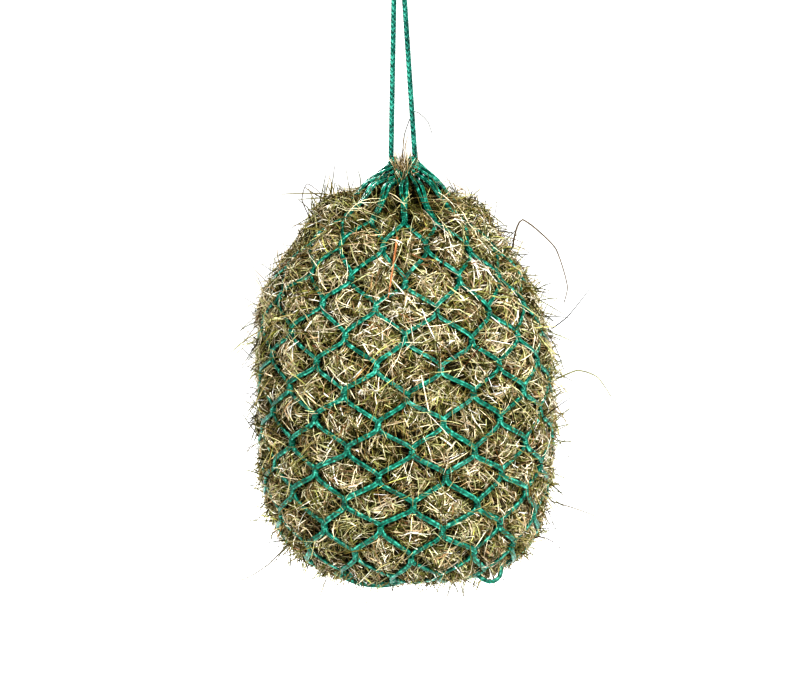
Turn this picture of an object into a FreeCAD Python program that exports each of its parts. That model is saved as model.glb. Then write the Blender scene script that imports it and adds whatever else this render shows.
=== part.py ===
"""Hay net: a knotted diamond-mesh bag full of hay, hung by its own braided drawcord.

Frame: +Z up, -Y towards the viewer, origin where a hook bears on the inside top of the hanging
loop, so everything hangs below it. Lengths are millimetres, and depths are counted downwards.
"""
import FreeCAD
import Part
import math
import os
from FreeCAD import Vector

os.makedirs("parts", exist_ok=True)
doc = FreeCAD.newDocument("HayNet")

# ---------------------------------------------------------------- driving dimensions
DRIVING = [
    ("cord_diameter", 7.0, "braided drawcord"),
    ("twine_diameter", 4.6, "netting twine"),
    ("loop_twine_diameter", 3.2, "flat netting twine standing on its edge where it is bunched"),
    ("hook_radius", 9.0, "inside radius of the hanging loop, room for a 12 mm hook"),
    ("knot_depth", 62.0, "centre of the hanging knot below the hook"),
    ("knot_radius", 14.0, "ball that holds the whole hanging knot"),
    ("joint_gap", 0.3, "clearance between two bodies"),
    ("pair_half_gap", 4.0, "half the distance between the two strands at the knot"),
    ("free_end_length", 32.0, "cord left over outside the knot"),
    ("free_end_angle", 60.0, "of a free end from straight down, degrees"),
    ("mouth_depth", 340.0, "where the strands reach the gathered mouth"),
    ("mouth_half_gap", 15.3, "half the distance between the strands at the mouth"),
    ("mouth_straight", 10.2, "straight part of the cord's bend, each side"),
    ("neck_depth", 345.0, "top of the netting's outline"),
    ("neck_radius", 20.0, "netting outline at the neck"),
    ("widest_depth", 640.0, "where the shoulder has become the side"),
    ("base_depth", 720.0, "where the side starts to turn under"),
    ("bottom_depth", 876.0, "lowest point of the netting's outline"),
    ("bag_radius", 183.0, "netting outline at its widest"),
    ("meshes_around", 14, "meshes in one round"),
    ("leg_length", 53.0, "one side of a mesh, knot to knot"),
    ("first_row_depth", 408.5, "first row of knots"),
    ("row_lean", 0.038, "rows hang lower towards +X, slope"),
    ("net_knot_radius", 3.9, "half the width of a netting knot"),
    ("net_knot_length", 12.0, "netting knot, along the bag's side"),
    ("leg_start", 7.0, "from a knot's centre to where a leg leaves it, down the side"),
    ("leg_spread", 2.6, "from a knot's centre to a leg's start, sideways"),
    ("base_ring_radius", 17.0, "gathering ring that closes the bottom"),
    ("base_knot_radius", 6.0, "knot that ties the gathering ring"),
    ("base_knot_inset", 4.5, "knot's centre inside the ring's middle line"),
    ("base_knot_drop", 4.0, "knot's centre below the ring"),
    ("hay_clearance", 5.0, "hay inside the middle of the twine"),
    ("hay_top_depth", 412.0, "top of the first armful"),
    ("hay_level_1", 520.0, "between the first and second armfuls"),
    ("hay_level_2", 640.0, "between the second and third armfuls"),
    ("hay_level_3", 755.0, "between the third and last armfuls"),
    ("stalk_diameter", 1.8, "hay stalk"),
]
sheet = doc.addObject("Spreadsheet::Sheet", "Sizes")
for line, (alias, value, meaning) in enumerate(DRIVING, start=1):
    sheet.set(f"A{line}", meaning)
    sheet.set(f"B{line}", str(value))
    sheet.setAlias(f"B{line}", alias)
doc.recompute()


def size(alias):
    """The value of a cell of the sheet, by its alias."""
    return float(sheet.get(alias))


UP = Vector(0, 0, 1)
BACK = Vector(0, 1, 0)
CORD_RADIUS = size("cord_diameter") / 2
MESHES = int(size("meshes_around"))
STEP = 2 * math.pi / MESHES  # from one mesh to the next, round the bag
nodes = {}  # each finished sub-part, by its name


def keep(piece, name):
    """Name a finished object after its node and remember it for the export."""
    piece.Label = name
    nodes[name] = piece
    return piece


def shape_node(name, solids):
    """A sub-part whose shape is one solid or a group of separate solids."""
    piece = doc.addObject("Part::Feature", name)
    piece.Shape = solids[0] if len(solids) == 1 else Part.makeCompound(solids)
    return keep(piece, name)


# ---------------------------------------------------------------- tubes along a route
def pipe(path, diameter):
    """Carry a round section along a wire."""
    first = path.OrderedEdges[0]
    start = first.valueAt(first.FirstParameter)
    heading = first.tangentAt(first.FirstParameter)
    rim = Part.Wire(Part.makeCircle(diameter / 2, start, heading))
    tube = path.makePipeShell([rim], True, True)
    if tube.Volume < 0:
        tube.reverse()
    return tube


def route(points):
    """Straight runs joined by tangent arcs, each as large as its two runs allow.

    The arc's radius is 0.45 of the shorter run, divided by the tangent of half the turn.
    """
    edges = []
    radii = []
    here = points[0]
    for before, corner, after in zip(points, points[1:], points[2:]):
        arriving = (corner - before).normalize()
        leaving = (after - corner).normalize()
        half_turn = arriving.getAngle(leaving) / 2
        cut = 0.45 * min(corner.distanceToPoint(before), corner.distanceToPoint(after))
        radius = cut / math.tan(half_turn)
        start = corner - arriving * cut
        end = corner + leaving * cut
        inwards = (leaving - arriving).normalize()
        middle = corner + inwards * (radius / math.cos(half_turn) - radius)
        edges.append(Part.LineSegment(here, start).toShape())
        edges.append(Part.Arc(start, middle, end).toShape())
        radii.append(radius)
        here = end
    edges.append(Part.LineSegment(here, points[-1]).toShape())
    return Part.Wire(edges), radii


def check_tube(name, tube, path, diameter):
    """Compare a tube's volume with its section times its length."""
    expected = math.pi * diameter**2 / 4 * path.Length
    error = abs(tube.Volume / expected - 1)
    print(f"{name}: {path.Length:.1f} mm long, volume {100 * error:.2f} % off its section times length")
    if error > 0.02:
        raise ValueError(f"{name} is not a clean tube")


# ---------------------------------------------------------------- hanging loop, knot and free ends
def hanging_loop():
    """A pear-shaped loop: an arc round the hook and two straight legs down to the knot."""
    arc_radius = size("hook_radius") + CORD_RADIUS
    centre = Vector(0, 0, -size("hook_radius"))
    foot_depth = size("knot_depth") - size("knot_radius") - size("joint_gap") - 0.5
    foot = Vector(size("pair_half_gap"), 0, -foot_depth)
    reach = foot - centre
    # a leg touches the arc where the radius is square to it
    touch = math.acos(arc_radius / reach.Length)
    angle = math.atan2(reach.z, reach.x) + touch
    meet = centre + Vector(math.cos(angle), 0, math.sin(angle)) * arc_radius
    meet_left = Vector(-meet.x, 0, meet.z)
    foot_left = Vector(-foot.x, 0, foot.z)
    crown = centre + UP * arc_radius
    path = Part.Wire(
        [
            Part.LineSegment(foot_left, meet_left).toShape(),
            Part.Arc(meet_left, crown, meet).toShape(),
            Part.LineSegment(meet, foot).toShape(),
        ]
    )
    tube = pipe(path, size("cord_diameter"))
    check_tube("hanging_loop", tube, path, size("cord_diameter"))
    print(f"hanging_loop: arc radius {arc_radius:.1f} mm")
    shape_node("hanging_loop", [tube])


def hanging_knot():
    """An overhand knot tied in both strands: a core with three wraps round it."""
    core = doc.addObject("Part::Sphere", "KnotCore")
    core.setExpression("Radius", "Sizes.knot_radius - Sizes.cord_diameter / 2")
    wraps = [core]
    turns = [(Vector(1, 0, 0), 90), (Vector(0, 1, 0), 35), (Vector(0, 1, 0), -35)]
    for count, (axis, angle) in enumerate(turns, start=1):
        wrap = doc.addObject("Part::Torus", f"KnotWrap{count}")
        wrap.setExpression("Radius1", "Sizes.knot_radius - Sizes.cord_diameter / 2 - 0.2")
        wrap.setExpression("Radius2", "Sizes.cord_diameter / 2")
        wrap.Placement = FreeCAD.Placement(Vector(), FreeCAD.Rotation(axis, angle))
        wraps.append(wrap)
    knot = doc.addObject("Part::MultiFuse", "hanging_knot")
    knot.Shapes = wraps
    knot.setExpression("Placement.Base.z", "-Sizes.knot_depth")
    keep(knot, "hanging_knot")


def free_end(name, side):
    """A short end of the cord that leaves the knot sideways and down, clear of the strands."""
    end = doc.addObject("Part::Cylinder", name)
    end.setExpression("Radius", "Sizes.cord_diameter / 2")
    end.setExpression("Height", "Sizes.free_end_length")
    tilt = 180 - size("free_end_angle")
    turn = FreeCAD.Rotation(BACK, side * tilt)
    heading = turn.multVec(UP)
    start = Vector(0, 0, -size("knot_depth")) + heading * size("knot_radius")
    end.Placement = FreeCAD.Placement(start, turn)
    keep(end, name)


# ---------------------------------------------------------------- the drawcord below the knot
def strand(name, side):
    """One of the two straight strands between the knot and the gathered mouth."""
    gap = size("joint_gap")
    top_depth = size("knot_depth") + size("knot_radius") + gap + 0.7
    top = Vector(side * size("pair_half_gap"), 0, -top_depth)
    exit_point = Vector(side * size("mouth_half_gap"), 0, gap - size("mouth_depth"))
    path = Part.Wire([Part.LineSegment(top, exit_point).toShape()])
    tube = pipe(path, size("cord_diameter"))
    check_tube(name, tube, path, size("cord_diameter"))
    shape_node(name, [tube])


def mouth_bend():
    """The cord's bend that carries every top loop of the netting: two straights and a half circle."""
    half = size("mouth_half_gap")
    top = -size("mouth_depth") - size("joint_gap") / 2
    low = -size("mouth_depth") - size("mouth_straight")
    left_top, left_low = Vector(-half, 0, top), Vector(-half, 0, low)
    right_top, right_low = Vector(half, 0, top), Vector(half, 0, low)
    bottom = Vector(0, 0, low - half)
    path = Part.Wire(
        [
            Part.LineSegment(left_top, left_low).toShape(),
            Part.Arc(left_low, bottom, right_low).toShape(),
            Part.LineSegment(right_low, right_top).toShape(),
        ]
    )
    tube = pipe(path, size("cord_diameter"))
    check_tube("draw_cord_mouth", tube, path, size("cord_diameter"))
    shape_node("draw_cord_mouth", [tube])


# ---------------------------------------------------------------- the bag's outline
def shoulder_point(part):
    """Outline from the neck (part 0) to the widest place (part 1), a rounded cone."""
    turn = part * math.pi / 2
    rise = size("widest_depth") - size("neck_depth")
    swell = size("bag_radius") - size("neck_radius")
    radius = size("neck_radius") + swell * math.sin(turn) ** 1.74
    depth = size("widest_depth") - rise * math.cos(turn) ** 0.91
    return Vector(radius, 0, -depth)


def base_point(part):
    """Outline from the side's lower end (part 0) to the middle of the bottom (part 1)."""
    turn = part * math.pi / 2
    drop = size("bottom_depth") - size("base_depth")
    radius = size("bag_radius") * max(math.cos(turn), 0.0) ** 0.8
    return Vector(radius, 0, -size("base_depth") - drop * math.sin(turn) ** 0.57)


def outline_curve():
    """One smooth curve through the shoulder, the side and the base."""
    points = [shoulder_point(step / 9) for step in range(10)]
    points += [base_point(step / 9) for step in range(10)]
    curve = Part.BSplineCurve()
    curve.interpolate(points)
    return curve.toShape()


OUTLINE = outline_curve()


def along_outline(distance):
    """Radius and height of the outline, and its downward heading, at a distance from the neck."""
    distance = min(max(distance, 0.01), OUTLINE.Length - 0.01)
    at = OUTLINE.getParameterByLength(distance)
    return OUTLINE.valueAt(at), OUTLINE.tangentAt(at)


def outline_at_depth(depth):
    """Distance along the outline at which it reaches a depth, by halving."""
    low, high = 0.0, OUTLINE.Length
    for _ in range(40):
        middle = (low + high) / 2
        if -along_outline(middle)[0].z < depth:
            low = middle
        else:
            high = middle
    return low


def on_bag(distance, angle):
    """A place on the bag and its directions: down the side, sideways and outwards.

    angle is counted from -Y towards +X. The rows lean: they lie lower towards +X.
    """
    flat, _ = along_outline(distance)
    place, heading = along_outline(distance + size("row_lean") * flat.x * math.sin(angle))
    outward = Vector(math.sin(angle), -math.cos(angle), 0)
    sideways = Vector(math.cos(angle), math.sin(angle), 0)
    down = outward * heading.x + UP * heading.z
    normal = outward * -heading.z + UP * heading.x
    return outward * place.x + UP * place.z, down.normalize(), sideways, normal.normalize()


def knot_rows():
    """Distances along the outline of the rows of knots: each side of a mesh has one length."""
    rows = [outline_at_depth(size("first_row_depth"))]
    while True:
        here, _ = along_outline(rows[-1])
        low, high = rows[-1], rows[-1] + size("leg_length")
        for _ in range(40):
            middle = (low + high) / 2
            there, _ = along_outline(middle)
            across = 2 * math.sqrt(here.x * there.x) * math.sin(STEP / 4)
            if math.hypot(across, there.distanceToPoint(here)) < size("leg_length"):
                low = middle
            else:
                high = middle
        if high > OUTLINE.Length - size("leg_length"):
            return rows
        rows.append(low)


ROWS = knot_rows()


def knot_angle(row, column):
    """Where a knot stands round the bag: every other row is moved by half a mesh."""
    return (column + 0.5 * (row % 2)) * STEP


# ---------------------------------------------------------------- netting
def net_knot(place, down):
    """A sheet-bend knot as a short capsule lying along the bag's side."""
    radius = size("net_knot_radius")
    half = size("net_knot_length") / 2 - radius
    tip, edge = Vector(0, 0, half + radius), Vector(radius, 0, half)
    low_tip, low_edge = Vector(0, 0, -half - radius), Vector(radius, 0, -half)
    lean = radius * math.sqrt(0.5)
    outline = Part.Wire(
        [
            Part.Arc(tip, Vector(lean, 0, half + lean), edge).toShape(),
            Part.LineSegment(edge, low_edge).toShape(),
            Part.Arc(low_edge, Vector(lean, 0, -half - lean), low_tip).toShape(),
            Part.LineSegment(low_tip, tip).toShape(),
        ]
    )
    solid = Part.Face(outline).revolve(Vector(), UP, 360)
    solid = Part.Solid(solid.Shells[0]) if solid.ShapeType != "Solid" else solid
    if solid.Volume < 0:
        solid.reverse()
    solid.Placement = FreeCAD.Placement(place, FreeCAD.Rotation(UP, down))
    return solid


def net_leg(row, column, side):
    """One side of a mesh: from a knot down to the next row's knot on that side, along the bag."""
    angle = knot_angle(row, column)
    next_angle = angle + side * STEP / 2
    start, down, across, _ = on_bag(ROWS[row], angle)
    end, next_down, next_across, _ = on_bag(ROWS[row + 1], next_angle)
    start = start + down * size("leg_start") + across * (side * size("leg_spread"))
    end = end - next_down * size("leg_start") - next_across * (side * size("leg_spread"))
    middle, _, _, _ = on_bag((ROWS[row] + ROWS[row + 1]) / 2, (angle + next_angle) / 2)
    path = Part.Wire([Part.Arc(start, middle, end).toShape()])
    return pipe(path, size("twine_diameter"))


def netting():
    """Every row of knots, and every course of mesh sides between two rows."""
    for row, distance in enumerate(ROWS):
        knots = []
        for column in range(MESHES):
            place, down, _, _ = on_bag(distance, knot_angle(row, column))
            knots.append(net_knot(place, down))
        shape_node(f"net_knots_{row + 1:02d}", knots)
    for row in range(len(ROWS) - 1):
        legs = []
        for column in range(MESHES):
            legs += [net_leg(row, column, side) for side in (-1, 1)]
        shape_node(f"net_course_{row + 1:02d}", legs)


def bend_place(order):
    """Centre of the mouth bend under one top loop, and the direction into the bend's inside.

    Three loops hang on each straight, evenly, and the rest are spread over the half circle.
    """
    half = size("mouth_half_gap")
    straight = size("mouth_straight")
    on_arc = MESHES - 6
    low = -size("mouth_depth") - straight
    if order < 3:
        return Vector(-half, 0, -size("mouth_depth") - (order + 0.5) * straight / 3), Vector(1, 0, 0)
    if order >= 3 + on_arc:
        back = MESHES - 1 - order
        return Vector(half, 0, -size("mouth_depth") - (back + 0.5) * straight / 3), Vector(-1, 0, 0)
    turn = (order - 3 + 0.5) * math.pi / on_arc
    spoke = Vector(-math.cos(turn), 0, -math.sin(turn))
    return Vector(0, 0, low) + spoke * half, spoke * -1


def mouth_loop(order):
    """One top loop: over the cord's bend, and both its legs down to one knot of the first row."""
    column = order - MESHES // 2
    angle = knot_angle(0, column)
    centre, inside = bend_place(order)
    reach = CORD_RADIUS + size("loop_twine_diameter") / 2 + size("joint_gap")
    knot, down, across, _ = on_bag(ROWS[0], angle)
    edges = []
    arch = Part.Arc(centre + BACK * reach, centre + inside * reach, centre - BACK * reach)
    for side in (1, -1):
        start = centre + BACK * (side * reach)
        # the leg on the far side of the cord swings wider, so that the two never cross
        swing = 5 + 3 * side * math.cos(angle)
        turn_side = side if math.sin(angle) > 1e-6 else -side
        foot = knot - down * size("leg_start") + across * (turn_side * size("leg_spread"))
        leg, _ = route([start, start - inside * swing, foot])
        edges.append(leg)
    first, second = edges
    whole = Part.Wire(list(reversed(first.Edges)) + [arch.toShape()] + list(second.Edges))
    return pipe(whole, size("loop_twine_diameter"))


def mouth_loops():
    """The top loops, strung on the cord in their order round the bag."""
    shape_node("mouth_loops", [mouth_loop(order) for order in range(MESHES)])


def base_closing():
    """The gathering ring under the bag, its knot, and the last mesh loops drawn in to it."""
    ring = doc.addObject("Part::Torus", "base_gather_cord")
    ring.setExpression("Radius1", "Sizes.base_ring_radius")
    ring.setExpression("Radius2", "Sizes.twine_diameter / 2")
    ring.setExpression("Placement.Base.z", "-Sizes.bottom_depth")
    keep(ring, "base_gather_cord")
    knot = doc.addObject("Part::Sphere", "base_knot")
    knot.setExpression("Radius", "Sizes.base_knot_radius")
    knot.setExpression("Placement.Base.y", "Sizes.base_knot_inset - Sizes.base_ring_radius")
    knot.setExpression("Placement.Base.z", "-Sizes.bottom_depth - Sizes.base_knot_drop")
    keep(knot, "base_knot")
    legs = []
    last = len(ROWS) - 1
    rim = size("base_ring_radius") + size("twine_diameter") + size("joint_gap")
    for column in range(MESHES):
        angle = knot_angle(last, column)
        place, down, _, _ = on_bag(ROWS[last], angle)
        start = place + down * size("leg_start")
        outward = Vector(math.sin(angle), -math.cos(angle), 0)
        end = outward * rim - UP * size("bottom_depth")
        middle = (start + end) / 2 - UP * 0.5
        path = Part.Wire([Part.Arc(start, middle, end).toShape()])
        legs.append(pipe(path, size("twine_diameter")))
    shape_node("base_loops", legs)


# ---------------------------------------------------------------- hay
def hay_offset(distance):
    """The hay's outline lies inside the netting's, square to it."""
    place, heading = along_outline(distance)
    inward = Vector(heading.z, 0, -heading.x)
    return place + inward.normalize() * size("hay_clearance")


def hay_armful(name, top_alias, bottom_alias):
    """One armful of hay: a turned solid between two level cuts, filling the netting."""
    last = OUTLINE.Length
    top = outline_at_depth(size(top_alias))
    bottom = outline_at_depth(size(bottom_alias)) if bottom_alias else last - 6
    rim = [hay_offset(top + (bottom - top) * step / 6) for step in range(7)]
    ceiling, floor = rim[0].z, rim[-1].z
    body = doc.addObject("PartDesign::Body", name)
    sketch = body.newObject("Sketcher::SketchObject", f"{name}_outline")
    plane = next(item for item in body.Origin.OriginFeatures if item.Role == "XZ_Plane")
    sketch.AttachmentSupport = [(plane, "")]
    sketch.MapMode = "FlatFace"
    drawn = [Vector(point.x, point.z, 0) for point in rim]
    side = Part.BSplineCurve()
    side.interpolate(drawn)
    middle_top, middle_bottom = Vector(0, ceiling, 0), Vector(0, floor, 0)
    sketch.addGeometry(
        [
            Part.LineSegment(middle_top, drawn[0]),
            side,
            Part.LineSegment(drawn[-1], middle_bottom),
            Part.LineSegment(middle_bottom, middle_top),
        ],
        False,
    )
    turn = body.newObject("PartDesign::Revolution", f"{name}_turned")
    turn.Profile = sketch
    turn.ReferenceAxis = (sketch, ["V_Axis"])
    turn.Angle = 360
    keep(body, name)


def hay():
    """Four armfuls, pushed in one on another."""
    hay_armful("hay_armful_top", "hay_top_depth", "hay_level_1")
    hay_armful("hay_armful_upper", "hay_level_1", "hay_level_2")
    hay_armful("hay_armful_lower", "hay_level_2", "hay_level_3")
    hay_armful("hay_armful_bottom", "hay_level_3", None)


# Stalks that poke out of the meshes: angle round the bag from the front, depth at the root,
# how far out and how far up the tip is, and how much the middle arches up.
STALKS = [
    (88, 612, 72, -24, 16),
    (83, 575, 44, 34, 6),
    (97, 770, 52, -46, 14),
    (-92, 830, 108, -36, -18),
    (-86, 640, 32, 18, 4),
    (-99, 775, 40, -52, 8),
    (3, 655, 48, 16, 6),
    (-28, 560, 40, 30, 8),
    (176, 600, 52, -28, 12),
    (160, 742, 46, 26, 6),
    (-150, 690, 50, -20, 10),
    (40, 520, 42, 50, 8),
]
HANGING_STALKS = [(-62, 862, 14, -66, -6), (55, 858, 22, -48, -4), (150, 860, 10, -52, 5)]


def stalk(angle, depth, out, up, arch):
    """One bent hay stalk, from just outside the netting to its free tip."""
    turn = math.radians(angle)
    root, _, _, normal = on_bag(outline_at_depth(depth), turn)
    outward = Vector(math.sin(turn), -math.cos(turn), 0)
    start = root + normal * (size("twine_diameter") + 1)
    tip = start + outward * out + UP * up
    middle = (start + tip) / 2 + UP * arch
    path = Part.Wire([Part.Arc(start, middle, tip).toShape()])
    return pipe(path, size("stalk_diameter"))


def loose_stalks():
    """The longest stalks that stand out from the bag on every side."""
    shape_node("loose_stalks", [stalk(*place) for place in STALKS + HANGING_STALKS])


# ---------------------------------------------------------------- make, check and write
hanging_loop()
hanging_knot()
free_end("cord_end_left", -1)
free_end("cord_end_right", 1)
strand("draw_cord_left_strand", -1)
strand("draw_cord_right_strand", 1)
mouth_bend()
mouth_loops()
netting()
base_closing()
hay()
loose_stalks()
doc.recompute()

for item in doc.Objects:
    if "Invalid" in item.State or "Error" in item.State:
        raise ValueError(f"{item.Label} failed: {item.State}")
for name, piece in nodes.items():
    shape = piece.Shape
    if shape.isNull() or not shape.isValid() or not shape.Solids:
        raise ValueError(f"{name} has no valid solid")
    if min(solid.Volume for solid in shape.Solids) <= 0:
        raise ValueError(f"{name} has a solid turned inside out")
    shape.exportStep(f"parts/{name}.step")
depths = [round(along_outline(distance)[0].z, 1) for distance in ROWS]
print(f"{len(ROWS)} rows of knots at heights {depths}")
print(f"{len(nodes)} sub-parts, {sum(len(piece.Shape.Solids) for piece in nodes.values())} solids")
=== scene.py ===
# %% [markdown]
# # A hay net, full and hanging
#
# A hay net is a bag of knotted twine. Its top loops are strung on a braided drawcord, the bag is
# filled with hay, and the cord is pulled tight and hung on a hook. Three things make it look real:
# the braid of the cord, the way the twine crosses and is bound at each knot, and the hay, which is
# tens of thousands of separate stalks that swell out of the meshes. This lesson makes each of them
# as surfaces worked out with numpy, because a rule says more clearly than a sculpted mesh why each
# strand lies where it does.

# %% Load the design
import math

import bpy
import numpy as np
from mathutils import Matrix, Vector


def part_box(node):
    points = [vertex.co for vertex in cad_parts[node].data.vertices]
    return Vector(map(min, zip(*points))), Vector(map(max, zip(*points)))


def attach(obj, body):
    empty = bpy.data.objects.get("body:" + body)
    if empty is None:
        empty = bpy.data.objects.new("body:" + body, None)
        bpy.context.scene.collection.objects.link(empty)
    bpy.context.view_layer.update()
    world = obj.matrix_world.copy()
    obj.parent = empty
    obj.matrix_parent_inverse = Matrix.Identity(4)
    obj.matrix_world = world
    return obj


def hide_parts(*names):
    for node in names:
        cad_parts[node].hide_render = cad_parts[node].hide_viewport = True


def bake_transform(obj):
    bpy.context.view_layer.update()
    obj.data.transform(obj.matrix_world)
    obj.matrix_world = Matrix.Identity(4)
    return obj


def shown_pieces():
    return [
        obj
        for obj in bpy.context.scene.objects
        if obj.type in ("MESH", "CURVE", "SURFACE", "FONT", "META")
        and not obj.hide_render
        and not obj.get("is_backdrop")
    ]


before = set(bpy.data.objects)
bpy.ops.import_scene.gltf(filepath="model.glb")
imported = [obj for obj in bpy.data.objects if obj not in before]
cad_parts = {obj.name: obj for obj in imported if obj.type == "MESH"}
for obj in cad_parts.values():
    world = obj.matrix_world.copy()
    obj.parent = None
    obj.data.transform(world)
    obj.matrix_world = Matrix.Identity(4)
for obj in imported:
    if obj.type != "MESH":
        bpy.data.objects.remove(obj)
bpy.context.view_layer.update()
MM = 0.001

# %% [markdown]
# ## Camera, light and floor
#
# The camera looks slightly down on the bag, and is turned a little about its own line of sight,
# because the bag hangs a little askew in the view. A long lens keeps the round bag from bulging.
# The studio is plain: a world that is white near the horizon and dim higher up, so that the hay keeps
# its deep shadows, a key light in front and above on the right, weaker ones from the left and from
# behind, and a pale floor well below the bag.

# %% Camera
VIEW_DISTANCE = 2.8
VIEW_ELEVATION = math.radians(8)
VIEW_ROLL = math.radians(1.4)
AIM = np.array([-0.0097, 0.0, -0.583])
SENSOR_WIDTH, LENS_LENGTH = 36, 96.9


def camera_axes(elevation, roll):
    """Right, up and backward directions: the level camera's, with right and up turned by roll."""
    back = np.array([0, -math.cos(elevation), math.sin(elevation)])
    right = np.array([1.0, 0, 0])
    up = np.cross(back, right)
    rolled_right = right * math.cos(roll) - up * math.sin(roll)
    rolled_up = right * math.sin(roll) + up * math.cos(roll)
    return rolled_right, rolled_up, back


def make_camera():
    """A long lens that takes in about a metre at the bag's distance."""
    from mathutils import Matrix

    right, up, back = camera_axes(VIEW_ELEVATION, VIEW_ROLL)
    lens = bpy.data.cameras.new("camera")
    lens.sensor_width, lens.lens = SENSOR_WIDTH, LENS_LENGTH
    camera = bpy.data.objects.new("camera", lens)
    turn = Matrix(np.column_stack([right, up, back]).tolist()).to_4x4()
    camera.matrix_world = Matrix.Translation(AIM + back * VIEW_DISTANCE) @ turn
    bpy.context.collection.objects.link(camera)
    bpy.context.scene.camera = camera


make_camera()
view_width = VIEW_DISTANCE * SENSOR_WIDTH / LENS_LENGTH
print(f"the camera takes in {view_width:.2f} m at the bag, from {VIEW_DISTANCE} m")

# %% Light and floor
FLOOR_HEIGHT, FLOOR_REACH = -1.3, 12.0
BAG_MIDDLE = (0, 0, -0.6)
# each light: its name, place, width in metres and power in watts
LIGHTS = [
    ("key", (1.1, -2.3, 1.0), 0.4, 158),
    ("side", (-2.2, -1.3, 0.1), 0.7, 30),
    ("back", (-1.1, 2.4, 0.9), 0.6, 95),
]
# the world's strength falls from the first value to the second between these two heights
WORLD_HEIGHTS, WORLD_STRENGTHS = (0.1, 0.35), (1.02, 0.3)


def soft_light(name, place, width, power):
    """A square area light at place, facing the bag's middle."""
    from mathutils import Vector

    light = bpy.data.lights.new(name, "AREA")
    light.shape, light.size, light.energy = "SQUARE", width, power
    lamp = bpy.data.objects.new(name, light)
    lamp.location = place
    lamp.rotation_euler = (Vector(BAG_MIDDLE) - Vector(place)).to_track_quat("-Z", "Y").to_euler()
    bpy.context.collection.objects.link(lamp)


def make_world():
    """A world that is white at its horizon and dim above."""
    world = bpy.data.worlds.new("studio")
    world.use_nodes = True
    tree = world.node_tree
    split = tree.nodes.new("ShaderNodeSeparateXYZ")
    fall = tree.nodes.new("ShaderNodeMapRange")
    for socket, value in zip(("From Min", "From Max", "To Min", "To Max"), WORLD_HEIGHTS + WORLD_STRENGTHS):
        fall.inputs[socket].default_value = value
    tree.links.new(tree.nodes.new("ShaderNodeTexCoord").outputs["Generated"], split.inputs[0])
    tree.links.new(split.outputs["Z"], fall.inputs["Value"])
    tree.links.new(fall.outputs[0], tree.nodes["Background"].inputs["Strength"])
    tree.nodes["Background"].inputs["Color"].default_value = (1, 1, 1, 1)
    bpy.context.scene.world = world
    bpy.context.scene.view_settings.view_transform = "Standard"
    bpy.context.scene.view_settings.look = "High Contrast"


def make_floor():
    """One pale square under the bag, which gives off a little light so that it stays white."""
    ground = bpy.data.meshes.new("floor")
    corners = [(-1, -1), (1, -1), (1, 1), (-1, 1)]
    points = [(x * FLOOR_REACH, y * FLOOR_REACH, FLOOR_HEIGHT) for x, y in corners]
    ground.from_pydata(points, [], [(0, 1, 2, 3)])
    floor = bpy.data.objects.new("floor", ground)
    pale = bpy.data.materials.new("pale_floor")
    pale.use_nodes = True
    shader = pale.node_tree.nodes["Principled BSDF"]
    shader.inputs["Base Color"].default_value = (0.8, 0.8, 0.8, 1)
    shader.inputs["Roughness"].default_value = 1.0
    shader.inputs["Emission Color"].default_value = (1, 1, 1, 1)
    shader.inputs["Emission Strength"].default_value = 0.85
    ground.materials.append(pale)
    bpy.context.collection.objects.link(floor)
    floor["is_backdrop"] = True


make_world()
for light in LIGHTS:
    soft_light(*light)
make_floor()
print(f"{len(LIGHTS)} lights, and a floor {-FLOOR_HEIGHT} m below the hook")

# %% [markdown]
# ## A small kit for sweeping sections along lines
#
# Cord strands, netting twine and hay stalks are all the same idea: an oval section carried along a
# line. A curve object with a bevel could do one line at a time. Here there are tens of thousands,
# so one function carries the section along all of them at once, as whole arrays. Each tube is
# closed at both ends, and keeps a UV map that says how far round and how far along a point is, so
# that a material can follow the yarn.

# %% Meshes from arrays


def unit(vectors):
    """Each vector divided by its own length."""
    return vectors / np.maximum(np.linalg.norm(vectors, axis=-1, keepdims=True), 1e-12)


def mesh_object(name, points, faces, uv=None):
    """An object at the origin from points (n, 3) and a list of index arrays, one for each face size."""
    mesh = bpy.data.meshes.new(name)
    corners = np.concatenate([group.ravel() for group in faces]).astype(np.int32)
    sizes = np.concatenate([np.full(len(group), group.shape[1]) for group in faces])
    starts = np.concatenate([[0], np.cumsum(sizes)[:-1]]).astype(np.int32)
    mesh.vertices.add(len(points))
    mesh.vertices.foreach_set("co", points.astype(np.float32).ravel())
    mesh.loops.add(len(corners))
    mesh.loops.foreach_set("vertex_index", corners)
    mesh.polygons.add(len(starts))
    mesh.polygons.foreach_set("loop_start", starts)
    mesh.polygons.foreach_set("use_smooth", np.ones(len(starts), bool))
    if uv is not None:
        layer = mesh.uv_layers.new(name="yarn")
        layer.data.foreach_set("uv", uv.astype(np.float32).ravel())
    mesh.update(calc_edges=True)
    mesh.validate()
    piece = bpy.data.objects.new(name, mesh)
    bpy.context.collection.objects.link(piece)
    return piece


def belongs(piece, body, slot, *nodes):
    """Says which body a piece rides on and which nodes it stands for; slot, what it is made of, is not used.
    """
    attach(piece, body)
    if nodes:
        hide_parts(*nodes)


print("a 3-4-5 vector made unit long:", unit(np.array([3.0, 4.0])))

# %% Sweep an oval along many lines


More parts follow.
